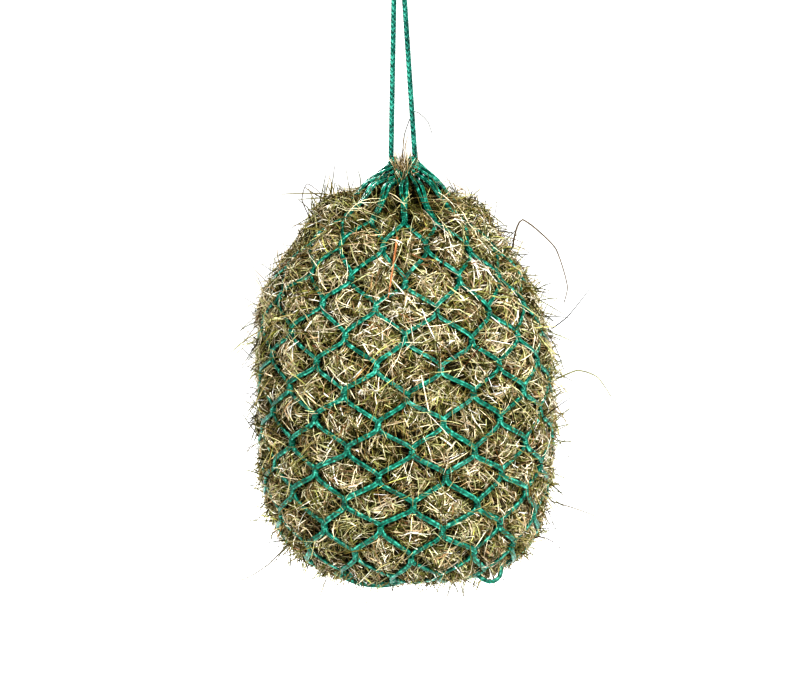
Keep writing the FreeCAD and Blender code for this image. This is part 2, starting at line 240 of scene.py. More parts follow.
def sweep(lines, facing, half_width, half_thick, sides):
    """Ovals carried along lines, as (points, faces, uv).

    lines and facing are (lines, rings, 3). At each ring the width lies along heading x facing and
    the thickness along facing made square to the heading: point = middle + width cos a + thickness sin a.
    """
    count, rings, _ = lines.shape
    heading = unit(np.gradient(lines, axis=1))
    across = unit(np.cross(heading, facing))
    outward = np.cross(across, heading)
    angle = np.arange(sides) * 2 * math.pi / sides
    wide = np.broadcast_to(half_width, (count, rings))[..., None, None]
    thick = np.broadcast_to(half_thick, (count, rings))[..., None, None]
    points = (
        lines[:, :, None]
        + across[:, :, None] * wide * np.cos(angle)[:, None]
        + outward[:, :, None] * thick * np.sin(angle)[:, None]
    )
    index = np.arange(count * rings * sides).reshape(count, rings, sides)
    turned = np.roll(index, -1, axis=2)
    walls = np.stack([index[:, :-1], index[:, 1:], turned[:, 1:], turned[:, :-1]], axis=-1)
    caps = np.concatenate([index[:, 0], index[:, -1, ::-1]])
    steps = np.linalg.norm(np.diff(lines, axis=1), axis=-1)
    along = np.concatenate([np.zeros((count, 1)), np.cumsum(steps, axis=1)], axis=1)
    around = np.arange(sides + 1) / sides
    low = np.broadcast_to(around[:-1], (count, rings - 1, sides))
    high = np.broadcast_to(around[1:], (count, rings - 1, sides))
    near = np.broadcast_to(along[:, :-1, None], (count, rings - 1, sides))
    far = np.broadcast_to(along[:, 1:, None], (count, rings - 1, sides))
    wall_uv = np.stack([low, near, low, far, high, far, high, near], axis=-1).reshape(-1, 2)
    cap_uv = np.zeros((caps.size, 2))
    faces = [walls.reshape(-1, 4), caps]
    return points.reshape(-1, 3), faces, np.concatenate([wall_uv, cap_uv])


def tube_object(name, parts):
    """One object from several swept sets, which may have different numbers of sides.

    Points after points, and every index moved along; the caps and their UVs come after all walls.
    """
    points, walls, caps, wall_uv, cap_uv = [], [], [], [], []
    start = 0
    for part_points, (part_walls, part_caps), uv in parts:
        points.append(part_points)
        walls.append(part_walls + start)
        caps.append(part_caps + start)
        wall_uv.append(uv[: part_walls.size])
        cap_uv.append(uv[part_walls.size :])
        start += len(part_points)
    faces = [np.concatenate(walls), *caps]
    return mesh_object(name, np.concatenate(points), faces, np.concatenate(wall_uv + cap_uv))


straight = np.linspace([0, 0, 0], [0, 0, 1.0], 5)[None]
trial = sweep(straight, np.broadcast_to([1.0, 0, 0], straight.shape), 0.1, 0.1, 8)
print("a straight tube of 5 rings and 8 sides has", len(trial[0]), "points")

# %% Lines that carry a facing direction


def carried_facing(lines, first):
    """A facing direction carried along each line without twisting, ring by ring for all lines at once."""
    heading = unit(np.gradient(lines, axis=1))
    facing = np.empty_like(lines)
    facing[:, 0] = unit(first - np.sum(first * heading[:, 0], -1, keepdims=True) * heading[:, 0])
    for ring in range(1, lines.shape[1]):
        carried = facing[:, ring - 1]
        along = np.sum(carried * heading[:, ring], -1, keepdims=True)
        facing[:, ring] = unit(carried - along * heading[:, ring])
    return facing


print("facing carried up the straight tube:", carried_facing(straight, np.array([1.0, 0, 0]))[0, -1])

# %% [markdown]
# ## The drawcord's braid
#
# The drawcord is a round braid of eight carriers: four wind one way, four the other, and each goes
# over two and under two. A bump texture would lie flat at the cord's edge, where a braid shows best,
# so every carrier is a real flat ribbon on its own helix, which is high where it passes over and low
# where it passes under. Its neighbours of the same hand do the same half a cycle later.

# %% The cord's route, as a smooth curve
CORD = 7 * MM
PAIR_HALF_GAP = 4 * MM
MOUTH_HALF_GAP = 15.3 * MM
KNOT_HEIGHT = -62 * MM
MOUTH_HEIGHT = -340 * MM
STRAND_TOP = KNOT_HEIGHT - 4 * MM
STRAND_TOP_GAP = 3.5 * MM
STRAND_END = MOUTH_HEIGHT + 0.3 * MM


def smooth_route(points):
    """Points read off a NURBS curve of order 3 that starts and ends at its first and last points."""
    curve = bpy.data.curves.new("route", "CURVE")
    curve.dimensions, curve.resolution_u = "3D", 48
    spline = curve.splines.new("NURBS")
    spline.points.add(len(points) - 1)
    for control, point in zip(spline.points, points):
        control.co = (*point, 1)
    spline.order_u = 3
    spline.use_endpoint_u = True
    holder = bpy.data.objects.new("route", curve)
    mesh = bpy.data.meshes.new_from_object(holder)
    line = np.empty(len(mesh.vertices) * 3)
    mesh.vertices.foreach_get("co", line)
    bpy.data.objects.remove(holder)
    bpy.data.meshes.remove(mesh)
    bpy.data.curves.remove(curve)
    return line.reshape(-1, 3)


def length_of(line):
    """The sum of the distances between a line's points."""
    return np.linalg.norm(np.diff(line, axis=0), axis=1).sum()


def even(line, gap):
    """The same line with points about gap apart, by interpolating along its length."""
    steps = np.linalg.norm(np.diff(line, axis=0), axis=1)
    along = np.concatenate([[0], np.cumsum(steps)])
    wanted = np.linspace(0, along[-1], max(int(round(along[-1] / gap)), 8) + 1)
    return np.column_stack([np.interp(wanted, along, line[:, axis]) for axis in range(3)]), wanted


print(f"the cord runs {(STRAND_TOP - STRAND_END) / MM:.0f} mm from the mouth up into the knot")

# %% Braid
BRAID_PITCH = 28 * MM
RINGS_PER_PITCH = 30
CARRIERS_EACH_WAY = 4
OVER_AND_UNDER = BRAID_PITCH / 2


def braid(line, plane_normal, diameter, start_turn=0.0):
    """Eight ribbons round a line that lies in a plane, and a core that fills them.

    A carrier's place = line + radius (cos a . normal + sin a . side), a = +/-2 pi s / pitch + its phase,
    radius = middle + depth x sin(4 pi s / pitch + twice its phase), a quarter cycle later for the left
    hand, and the left hand's angle is an eighth of a turn on.
    In the UV map, along counts over and under: at a whole number the first hand is on top, at a half
    the other, whose yarns are painted darker: painted shade, as if they lay away from the light.
    """
    scale = diameter / CORD
    route, along = even(line, BRAID_PITCH * scale / RINGS_PER_PITCH)
    heading = unit(np.gradient(route, axis=0))
    normal = np.broadcast_to(np.asarray(plane_normal, float), route.shape)
    side = unit(np.cross(normal, heading))
    turn = 2 * math.pi * along / (BRAID_PITCH * scale) + start_turn
    phase = np.arange(CARRIERS_EACH_WAY) * 2 * math.pi / CARRIERS_EACH_WAY
    ribbons = []
    outwards = []
    for hand in (1, -1):
        angle = hand * turn[None] + phase[:, None] + (hand < 0) * math.pi / 4
        cycle = 2 * turn[None] + 2 * phase[:, None] - (hand < 0) * math.pi / 2
        radius = diameter * (0.325 + 0.09 * np.sin(cycle))[..., None]
        outward = normal[None] * np.cos(angle)[..., None] + side[None] * np.sin(angle)[..., None]
        ribbons.append(route[None] + outward * radius)
        outwards.append(outward)
    lines, facing = np.concatenate(ribbons), np.concatenate(outwards)
    ends = np.clip(np.minimum(along, along[-1] - along) / (0.3 * diameter), 0.25, 1) ** 0.5
    strands = sweep(lines, facing, 0.215 * diameter * ends, 0.105 * diameter * ends, 8)
    crossing = (turn[None] + np.concatenate([phase - math.pi / 4, phase])[:, None]) / math.pi
    corners = np.stack([crossing[:, :-1], crossing[:, 1:], crossing[:, 1:], crossing[:, :-1]], axis=-1)
    walls = strands[1][0].size
    strands[2][:walls, 1] = np.repeat(corners[:, :, None], 8, axis=2).ravel() * OVER_AND_UNDER
    core_facing = np.broadcast_to(normal[None], (1, *route.shape))
    core = sweep(route[None], core_facing, 0.26 * diameter, 0.26 * diameter, 8)
    # painted shade: the core takes the darkest place of the yarn pattern, so the gaps between the ribbons
    # look deep
    core[2][:] = [0.75, OVER_AND_UNDER / 2]
    return [strands, core]


print(f"braid: {2 * CARRIERS_EACH_WAY} carriers, each once round in {BRAID_PITCH / MM:.0f} mm")

# %% [markdown]
# ## Hanging loop, knot and strands
#
# Above the bag the two strands meet in a knot, and from it a pear-shaped loop goes over the hook.
# Loop and strands are pulled straight by the bag's weight, so they are short routes with long
# straight stretches. The loop's round top is as large as the hook that it goes over. The knot could
# be one tied route, but where it is pulled tight its turns would cut into each other, so it is four
# crossed rings of the same braid, which look much the same from outside.

# %% Hanging loop
HOOK_RADIUS = 9 * MM
LOOP_FOOT = KNOT_HEIGHT + 14.8 * MM
IN_KNOT = 11 * MM


def loop_line():
    """Two straight legs tangent to an arc round the hook, and their ends down into the knot."""
    radius = HOOK_RADIUS + CORD / 2
    foot = np.array([PAIR_HALF_GAP, LOOP_FOOT + HOOK_RADIUS])
    reach = np.linalg.norm(foot)
    low = math.atan2(foot[1], foot[0]) + math.acos(radius / reach)
    turn = np.linspace(math.pi - low, low, 60)
    arc = np.column_stack([np.cos(turn), np.zeros(60), np.sin(turn)]) * radius
    right = np.linspace(arc[-1], [foot[0], 0, foot[1]], 40)[1:]
    right = np.concatenate([right, np.linspace(right[-1], right[-1] - [0.5 * MM, 0, IN_KNOT], 8)[1:]])
    left = right[::-1] * [-1, 1, 1]
    return np.concatenate([left, arc, right]) - [0, 0, HOOK_RADIUS]


IN_PLANE = (0, 1, 0)
LOOP_LINE = loop_line()
hanging_loop = tube_object("hanging_loop_braid", braid(LOOP_LINE, IN_PLANE, CORD))
belongs(hanging_loop, "hanger", "drawcord", "hanging_loop")

# %% The two strands
strands = {}
for hand, side_name in ((-1, "left"), (1, "right")):
    route_points = [
        (hand * MOUTH_HALF_GAP, 0, STRAND_END),
        (hand * (MOUTH_HALF_GAP + STRAND_TOP_GAP) / 2, 0, (STRAND_END + STRAND_TOP) / 2),
        (hand * STRAND_TOP_GAP, 0, STRAND_TOP),
    ]
    strand_line = smooth_route(route_points)
    strand = tube_object(f"draw_cord_{side_name}_braid", braid(strand_line, IN_PLANE, CORD, hand))
    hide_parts(f"draw_cord_{side_name}_strand")
    strands[side_name] = (strand, strand_line, route_points[0])

# %% The knot and its free ends
# each ring of the knot: its radius in millimetres, its tilt about Y and its lean about X
KNOT_RINGS = [(9.3, 0.62, 0.1), (9.3, -0.62, -0.1), (9.6, 0.05, 1.5), (9.9, 0.1, 0.0)]


def ring_line(radius, tilt, lean):
    """A full circle round the knot, tilted about Y and leaned about X, and the axis that it goes round."""
    turn = np.linspace(0, 2 * math.pi, 73)
    flat = np.column_stack([np.cos(turn), np.sin(turn), np.zeros_like(turn)]) * radius
    tip = np.array([[math.cos(tilt), 0, math.sin(tilt)], [0, 1, 0], [-math.sin(tilt), 0, math.cos(tilt)]])
    rock = np.array([[1, 0, 0], [0, math.cos(lean), -math.sin(lean)], [0, math.sin(lean), math.cos(lean)]])
    place = flat @ tip.T @ rock.T
    axis = np.array([0, 0, 1.0]) @ tip.T @ rock.T
    return place + [0, 0, KNOT_HEIGHT], axis


knot_parts = []
for ring_radius, tilt, lean in KNOT_RINGS:
    circle, circle_axis = ring_line(ring_radius * MM, tilt, lean)
    knot_parts += braid(circle, circle_axis, CORD)
knot = tube_object("hanging_knot_braid", knot_parts)
belongs(knot, "knot", "drawcord", "hanging_knot")


def free_end_line(hand):
    """Out of the knot sideways and down, and drooping towards straight down at its cut end."""
    start = np.array([hand * 7.5, 0, KNOT_HEIGHT / MM - 4.5]) * MM
    points = [start + np.array([hand * x, 0, -z]) * MM for x, z in ((0, 0), (12, 6), (22, 12), (28, 16))]
    return smooth_route(points)


for hand, side_name in ((-1, "left"), (1, "right")):
    end = tube_object(f"cord_end_{side_name}_braid", braid(free_end_line(hand), IN_PLANE, CORD))
    belongs(end, "knot", "drawcord", f"cord_end_{side_name}")
print(f"a knot of {len(KNOT_RINGS)} rings of cord, and two free ends")

# A strand that rode on one body would tear off the other. Here each strand's place is only baked
# into its mesh, and it rides on no body.

for side_name, (strand, line, exit_point) in strands.items():
    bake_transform(strand)

# %% [markdown]
# ## The bend through the mouth
#
# Inside the gathered mouth the cord goes through the top loops from one strand to the other. It hangs
# there as a half circle, on which the loops will find their places.

# %% Cord through the mouth
BEND_DROP = 10.2 * MM


def mouth_bend_line():
    """Two short straights joined by a half circle that hangs below them."""
    turn = np.linspace(math.pi, 2 * math.pi, 40)
    arc = np.column_stack([np.cos(turn), np.zeros(40), np.sin(turn)]) * MOUTH_HALF_GAP
    left = np.linspace([-MOUTH_HALF_GAP, 0, BEND_DROP], arc[0], 12)[:-1]
    right = np.linspace(arc[-1], [MOUTH_HALF_GAP, 0, BEND_DROP], 12)[1:]
    return np.concatenate([left, arc, right]) + [0, 0, MOUTH_HEIGHT - BEND_DROP]


mouth_bend = tube_object("draw_cord_mouth_braid", braid(mouth_bend_line(), IN_PLANE, CORD))
belongs(mouth_bend, "bag", "drawcord", "draw_cord_mouth")
print(f"the bend is {2 * MOUTH_HALF_GAP / MM:.0f} mm wide")

# %% [markdown]
# ## The bag's outline
#
# Netting and hay both follow one outline: a rounded cone for the shoulder, a straight side, and a
# base that turns under. It is worked out once as a table of distance along the outline, and every
# piece asks for its place by that distance and an angle round the bag. The rows of knots come from
# the design itself: each row's height is the middle of its node's box.

# %% Outline
NECK_DEPTH, NECK_RADIUS = 345 * MM, 20 * MM
WIDEST_DEPTH, BASE_DEPTH, BOTTOM_DEPTH = 640 * MM, 720 * MM, 876 * MM
BAG_RADIUS = 183 * MM
MESHES = 14
MESH_STEP = 2 * math.pi / MESHES
ROW_LEAN = 0.038


def outline_table():
    """(distance, radius, height, heading) down the outline.

    Shoulder: radius = neck + swell sin(a)^1.74, depth = widest - rise cos(a)^0.91.
    Base: radius = side cos(a)^0.8, depth = side's end + drop sin(a)^0.57.
    """
    turn = np.linspace(0, math.pi / 2, 700)
    shoulder_r = NECK_RADIUS + (BAG_RADIUS - NECK_RADIUS) * np.sin(turn) ** 1.74
    shoulder_z = -WIDEST_DEPTH + (WIDEST_DEPTH - NECK_DEPTH) * np.maximum(np.cos(turn), 0) ** 0.91
    base_r = BAG_RADIUS * np.maximum(np.cos(turn), 0) ** 0.8
    base_z = -BASE_DEPTH - (BOTTOM_DEPTH - BASE_DEPTH) * np.sin(turn) ** 0.57
    radius = np.concatenate([shoulder_r, base_r])
    height = np.concatenate([shoulder_z, base_z])
    along = np.concatenate([[0], np.cumsum(np.hypot(np.diff(radius), np.diff(height)))])
    wanted = np.linspace(0, along[-1], 1400)
    radius, height = np.interp(wanted, along, radius), np.interp(wanted, along, height)
    blur = np.ones(15) / 15
    heading = unit(np.column_stack([np.gradient(radius), np.gradient(height)]))
    padded = np.pad(heading, ((7, 7), (0, 0)), mode="edge")
    heading = unit(np.column_stack([np.convolve(padded[:, k], blur, "valid") for k in range(2)]))
    return wanted, radius, height, heading


ALONG, RADIUS, HEIGHT, HEADING = outline_table()
print(f"outline: {ALONG[-1] / MM:.0f} mm long, {2 * RADIUS.max() / MM:.0f} mm across at the widest")


def bag_radius(distance):
    """The outline's radius at a distance down it."""
    return np.interp(distance, ALONG, RADIUS)


# %% Uneven load, and places on the bag
# the load is uneven: how much fuller the bag is on its left and right side at these heights
LOAD_HEIGHTS = np.array([-880, -850, -800, -760, -700, -640, -583, -525, -486, -447, -400, -345]) * MM
LOAD_LEFT = np.array([6, 2, 6, 8, 11, 9, 12, 20, 12, 7, 9, 0]) * MM
LOAD_RIGHT = np.array([4, 4, -4, -3, 3, 0, 0, -4, -4, -9, 0, 0]) * MM
RIM_FULLER, RIM_HEIGHT, RIM_WIDTH = 9 * MM, -868 * MM, 35 * MM
SINK, SINK_PLACE, SINK_WIDTH = 15 * MM, 70 * MM, 45 * MM


def uneven_load(height, radius, angle):
    """The side's extra, shared out by the sine of the angle, and a fuller rim under the bag."""
    left, right = (np.interp(height, LOAD_HEIGHTS, side) for side in (LOAD_LEFT, LOAD_RIGHT))
    sine = np.sin(angle)
    rim = RIM_FULLER * np.exp(-(((height - RIM_HEIGHT) / RIM_WIDTH) ** 2))
    rim = rim * np.clip((radius - 30 * MM) / (50 * MM), 0, 1)
    return np.where(sine > 0, right, left) * np.abs(sine) ** 1.5 + rim


def on_bag(distance, angle):
    """Place, down, across and outward directions at a distance down the outline and an angle."""
    radius = bag_radius(distance)
    height = np.interp(distance, ALONG, HEIGHT)
    slope_r = np.interp(distance, ALONG, HEADING[:, 0])
    slope_z = np.interp(distance, ALONG, HEADING[:, 1])
    sine, cosine = np.sin(angle), -np.cos(angle)
    place = np.stack([radius * sine, radius * cosine, height], axis=-1)
    down = np.stack([slope_r * sine, slope_r * cosine, slope_z], axis=-1)
    across = np.stack([-cosine, sine, np.zeros_like(radius)], axis=-1)
    outward = np.stack([-slope_z * sine, -slope_z * cosine, slope_r], axis=-1)
    place = place + outward * uneven_load(height, radius, angle)[..., None]
    return place, down, across, outward


def shoulder_sink(distance):
    """How far the drawn-up netting cuts into the hay below the mouth: a bell shape along the outline."""
    return SINK * np.exp(-(((distance - SINK_PLACE) / SINK_WIDTH) ** 2))


def on_net(distance, angle, lift=0.0):
    """The same place and directions for the netting, which is sunk at the shoulder."""
    place, down, across, outward = on_bag(distance, angle)
    return place + outward * (lift - shoulder_sink(distance))[..., None], down, across, outward


def row_distances():
    """Distance down the outline of every row of knots, from the heights of the design's nodes."""
    names = sorted(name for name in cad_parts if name.startswith("net_knots_"))
    heights = np.array([(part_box(name)[0][2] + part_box(name)[1][2]) / 2 for name in names])
    return np.interp(-heights, -HEIGHT, ALONG)


ROWS = row_distances()
print(f"{len(ROWS)} rows of {MESHES} knots down {ALONG[-1] * 1000:.0f} mm of outline")

# %% [markdown]
# ## Netting
#
# The netting is tied by hand or machine from one twine: in each course the twine zigzags from knot
# to knot. Hay pushes every mesh open, so the twine leaves a knot almost straight down and only then
# bends out to the side. Both twines of a knot run together for a finger's breadth and are bound by
# a turn of twine. No two meshes are quite alike, so each knot is moved a few millimetres.

# %% Where the knots are
KNOT_CHANCE = np.random.default_rng(41)
KNOT_SHIFT_DOWN = KNOT_CHANCE.normal(0, 2.2, (len(ROWS), MESHES)) * MM
KNOT_SHIFT_ACROSS = KNOT_CHANCE.normal(0, 2.4, (len(ROWS), MESHES)) * MM


def knot_place(row, column):
    """Distance and angle of a knot: half a mesh on in every other row, lower to one side, and shifted."""
    column = np.asarray(column)
    wrapped = np.mod(column, MESHES)
    radius = bag_radius(ROWS[row])
    fade = min(1.0, radius / 0.12)
    angle = (column + 0.5 * (row % 2)) * MESH_STEP
    angle = angle + KNOT_SHIFT_ACROSS[row, wrapped] * fade / radius
    distance = ROWS[row] + KNOT_SHIFT_DOWN[row, wrapped] * fade
    return distance + ROW_LEAN * radius * np.sin(angle), angle


print(f"knots are shifted by up to {np.abs(KNOT_SHIFT_DOWN).max() / MM:.1f} mm down or up")

# %% Sides of the meshes
TWINE_HALF_WIDTH, TWINE_HALF_THICK = 3.0 * MM, 2.2 * MM
RINGS_PER_SIDE = 22


def mesh_sides(row):
    """Lines, facings and sizes of all the twine between one row of knots and the next.

    The sideways share of the way is t - 0.75 sin(2 pi t)/2pi - 0.22 sin(4 pi t)/4pi: slow at both knots.
    """
    column = np.repeat(np.arange(MESHES), 2)
    hand = np.tile([-1, 1], MESHES)
    start, start_angle = knot_place(row, column)
    next_column = column + (hand - 1) // 2 + (row % 2)
    end, end_angle = knot_place(row + 1, next_column)
    t = np.linspace(0, 1, RINGS_PER_SIDE)
    share = t - 0.75 * np.sin(2 * np.pi * t) / (2 * np.pi) - 0.22 * np.sin(4 * np.pi * t) / (4 * np.pi)
    angle = start_angle[:, None] + (end_angle - start_angle)[:, None] * share
    distance = start[:, None] + (end - start)[:, None] * t
    place, _, across, outward = on_net(distance, angle)
    # the twine that shows in front at a knot is the one that comes from the bag's middle
    in_front = np.where(hand * np.sin(start_angle) >= 0, 1.0, -1.0)
    near_knot = np.exp(-((np.minimum(t, 1 - t) / 0.13) ** 2))
    middle = np.sin(np.pi * t)
    lift = (in_front[:, None] * (near_knot * 1.7 + middle * 0.9) + middle * 1.2) * MM
    size = (1 - 0.25 * np.exp(-((np.minimum(t, 1 - t) / 0.1) ** 2))) * (1 + 0.05 * in_front[:, None])
    beside = hand[:, None] * near_knot * 0.9 * MM
    size = size * np.interp(row, [0, 4, 9], [0.9, 0.95, 1.13])
    lines = place + outward * lift[..., None] + across * beside[..., None]
    return sweep(lines, outward, TWINE_HALF_WIDTH * size, TWINE_HALF_THICK * size, 10)


for row in range(len(ROWS) - 1):
    course = tube_object(f"net_course_{row + 1:02d}_twine", [mesh_sides(row)])
    belongs(course, "bag", "net_twine", f"net_course_{row + 1:02d}")
print(f"{len(ROWS) - 1} courses, each with {2 * MESHES} sides of meshes")

# %% [markdown]
# ## What holds each knot
#
# In a netting knot one twine goes round the other. A true knot modelled 210 times would cost far
# more faces than it shows at this size, so each is two twines side by side, bound by one short
# coil of the same twine, which gives the bump and the crossing line that the eye looks for.

# %% Binding turns of the knots
BINDING_RINGS = 21


def knot_bindings(row):
    """One and a bit turns of twine round both twines of each knot.

    Place = knot + across x cos(a) + outward x sin(a) + down x rise, with rise growing with a.
    """
    distance, angle = knot_place(row, np.arange(MESHES))
    place, down, across, outward = on_net(distance, angle)
    hand = np.where(np.sin(angle + 0.2 * row) >= 0, 1.0, -1.0)[:, None, None]
    turn = np.linspace(-0.65, 0.65, BINDING_RINGS) * 2 * math.pi + math.pi / 2
    wrap = (
        across[:, None] * (np.cos(turn)[None, :, None] * hand * 3.1 * MM)
        + outward[:, None] * (np.sin(turn)[None, :, None] * 3.0 * MM)
        + down[:, None] * (np.linspace(-3.4, 3.4, BINDING_RINGS)[None, :, None] * MM)
    )
    lines = place[:, None] + wrap
    sideways = across[:, None] * (np.cos(turn)[None, :, None] * hand)
    facing = sideways + outward[:, None] * np.sin(turn)[None, :, None]
    return sweep(lines, facing, 2.1 * MM, 1.35 * MM, 9)


for row in range(len(ROWS)):
    bindings = tube_object(f"net_knots_{row + 1:02d}_bound", [knot_bindings(row)])
    belongs(bindings, "bag", "net_twine", f"net_knots_{row + 1:02d}")
print(f"{len(ROWS) * MESHES} knots bound")

# %% [markdown]
# ## The gathered mouth
#
# Every top loop of the netting is strung on the cord's bend, in its order round the bag, and both
# its legs run down to one knot of the first row. The legs could be curves pulled into place by hand,
# but each then has to be kept off the hay. Here a leg follows the bag's own outline, and a share that
# fades with the way down draws its top over to its place on the cord.

# %% Top loops
LOOPS_ON_STRAIGHT = 3
LOOP_HALF_WIDTH, LOOP_HALF_THICK = 2.75 * MM, 2.0 * MM
INSIDE_THE_HAY = np.array([0, 0, -450 * MM])


def bend_places():
    """Places of the top loops on the cord's bend, and the directions into the bend's inside."""
    count = LOOPS_ON_STRAIGHT
    on_arc = MESHES - 2 * count
    turn = (np.arange(on_arc) + 0.5) * math.pi / on_arc
    spoke = np.column_stack([-np.cos(turn), np.zeros(on_arc), -np.sin(turn)])
    arc = spoke * MOUTH_HALF_GAP + [0, 0, MOUTH_HEIGHT - BEND_DROP]
    step = (np.arange(count) + 0.5) * BEND_DROP / count
    left = np.column_stack([np.full(count, -MOUTH_HALF_GAP), np.zeros(count), MOUTH_HEIGHT - step])
    right = left[::-1] * [-1, 1, 1]
    inward = np.concatenate([np.tile([1, 0, 0], (count, 1)), -spoke, np.tile([-1, 0, 0], (count, 1))])
    return np.concatenate([left, arc, right]), inward


def top_loops():
    """All the top loops: a leg up from the knot, an arch over the cord, and a leg back down.

    Leg = place on the bag + (start on the cord - place at the neck) x a share that fades from 1 to 0.
    The legs stand evenly round the neck, and each loop's two come together on the way to its knot.
    """
    centre, inward = bend_places()
    column = np.arange(MESHES) - MESHES // 2
    distance, angle = knot_place(0, column)
    reach = CORD / 2 + LOOP_HALF_THICK
    back = np.array([0, 1.0, 0])
    t = np.linspace(0, 1, 38)[None]
    legs = []
    for side in (1, -1):
        start = centre + back * side * reach
        hand = np.where(np.sin(angle) > 1e-6, side, -side)[:, None]
        run = distance[:, None] * t**0.92
        apart = np.clip(1.25 - 1.5 * t, 0, 1) * MESH_STEP / 4
        spread = np.maximum(apart, 2.0 * MM / bag_radius(run))
        place, _, _, _ = on_net(run, angle[:, None] + hand * spread, 1 * MM)
        fade = np.clip(t / 0.45, 0, 1)
        fade = (1 - fade**2 * (3 - 2 * fade))[..., None]
        legs.append(place + (start[:, None] - place[:, :1]) * fade)
    turn = np.linspace(0, math.pi, 14)[1:-1]
    arch = centre[:, None] + reach * (
        back * np.cos(turn)[None, :, None] + inward[:, None] * np.sin(turn)[None, :, None]
    )
    lines = np.concatenate([legs[0][:, ::-1], arch, legs[1]], axis=1)
    knot = legs[0][:, -1]
    facing = carried_facing(lines, unit(knot - INSIDE_THE_HAY))
    return sweep(lines, facing, LOOP_HALF_WIDTH, LOOP_HALF_THICK, 12)


mouth_loops = tube_object("mouth_loops_twine", [top_loops()])
belongs(mouth_loops, "bag", "net_twine", "mouth_loops")
print(f"{MESHES} top loops on the cord")

# %% [markdown]
# ## The gathered base
#
# At the bottom the last loops are drawn together on a ring of twine, tied with one knot. Seen from
# the front only their upper ends show, so a plain smooth curve from each of the lowest knots to the
# ring is enough: a cubic whose direction is set at both ends, so that it leaves the bag without a kink.

# %% Gathered base


def hermite(start, start_way, end, end_way, t):
    """Smooth curves between places with set directions: the cubic with those ends and slopes."""
    t = t[None, :, None]
    start, end = start[:, None], end[:, None]
    start_way, end_way = start_way[:, None], end_way[:, None]
    return (
        start * (2 * t**3 - 3 * t**2 + 1)
        + start_way * (t**3 - 2 * t**2 + t)
        + end * (3 * t**2 - 2 * t**3)
        + end_way * (t**3 - t**2)
    )


def base_legs():
    """The last loops, drawn in side by side from the lowest knots to the gathering ring."""
    last = len(ROWS) - 1
    distance, angle = knot_place(last, np.arange(MESHES))
    knot, down, across, _ = on_bag(distance, angle)
    outward = unit(knot * [1, 1, 0])
    parts = []
    for side in (1, -1):
        start = knot + across * side * 1.8 * MM
        end = outward * 19 * MM + across * side * 1.2 * MM + [0, 0, -BOTTOM_DEPTH - 1 * MM]
        lines = hermite(start, down * 0.05, end, -outward * 0.04, np.linspace(0, 1, 24))
        facing = np.broadcast_to([0, 0, -1.0], lines.shape)
        parts.append(sweep(lines, facing, 1.7 * MM, 1.5 * MM, 10))
    return parts


base_loops = tube_object("base_loops_twine", base_legs())
belongs(base_loops, "bag", "net_twine", "base_loops")


def base_ring():
    """A ring of twine of two turns, one a little below the other."""
    turn = np.linspace(0, 4 * math.pi, 130)
    radius = (17 + 0.6 * np.sin(turn / 2)) * MM
    height = -BOTTOM_DEPTH - (turn / (4 * math.pi) - 0.5) * 3 * MM
    lines = np.column_stack([radius * np.sin(turn), -radius * np.cos(turn), height])[None]
    facing = unit(lines * [1, 1, 0])
    return sweep(lines, facing, 2.0 * MM, 1.9 * MM, 12)


ring = tube_object("base_gather_cord_twine", [base_ring()])
belongs(ring, "bag", "net_twine", "base_gather_cord")


def base_knot_lines():
    """Three small crossed turns of twine that make the ring's knot."""
    low, high = (np.array(corner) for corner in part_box("base_knot"))
    centre = (low + high) / 2
    turn = np.linspace(0, 2 * math.pi, 40)
    circle = np.stack([np.cos(turn), np.sin(turn), 0.25 * np.sin(2 * turn)], axis=-1) * 3.9 * MM
    turned = [circle, circle[:, [1, 2, 0]], circle[:, [2, 0, 1]]]
    lines = np.stack(turned) + centre
    return sweep(lines, unit(lines - centre), 1.9 * MM, 1.7 * MM, 10)


base_knot = tube_object("base_knot_twine", [base_knot_lines()])
belongs(base_knot, "bag", "net_twine", "base_knot")

print(f"{MESHES} last loops on a ring of two turns, with its knot")

# %% [markdown]
# ## Slack twine under the rim
#
# No net hangs perfectly tight. On one side of the rim a loop of twine sags below the hay, and on the
# other two spare lengths lie side by side. They follow no rule, so their points are listed one by one.

# %% Slack twine
# each length's points as (across, towards the back, up) in millimetres
SLACK_LOOPS = [
    [(76, -92, -864), (90, -100, -878), (108, -98, -877), (115, -90, -861), (104, -92, -846)],
    [(-104, -92, -858), (-84, -106, -870), (-52, -110, -877), (-26, -106, -877), (-8, -98, -872)],
    [(-90, -100, -856), (-70, -110, -867), (-46, -114, -872), (-22, -110, -874), (-2, -98, -870)],
]


def slack_twine():
    """A slack loop on one side of the rim and two spare lengths side by side on the other."""
    lines = []
    for points in SLACK_LOOPS:
        route = smooth_route([tuple(value * MM for value in point) for point in points])
        lines.append(even(route, length_of(route) / 40)[0])
    lines = np.stack(lines)
    return sweep(lines, carried_facing(lines, np.array([0, -1.0, -0.3])), 2.9 * MM, 2.6 * MM, 10)


slack = tube_object("rim_slack_twine", [slack_twine()])
belongs(slack, "bag", "net_twine")
print(len(SLACK_LOOPS), "slack lengths under the rim")

# %% [markdown]
# ## How the hay swells
#
# Twine cuts into packed hay, and the hay swells out of each mesh like a small pillow. Two numbers
# tell where a place lies in its mesh: how far it is, across the netting, from each of the two sets
# of slanting twines. Near either one the hay is pressed in, and in the middle it stands proud.

# %% Swelling of the hay
SWELL, PRESSED_IN = 13 * MM, -7 * MM
GROOVE = 0.15


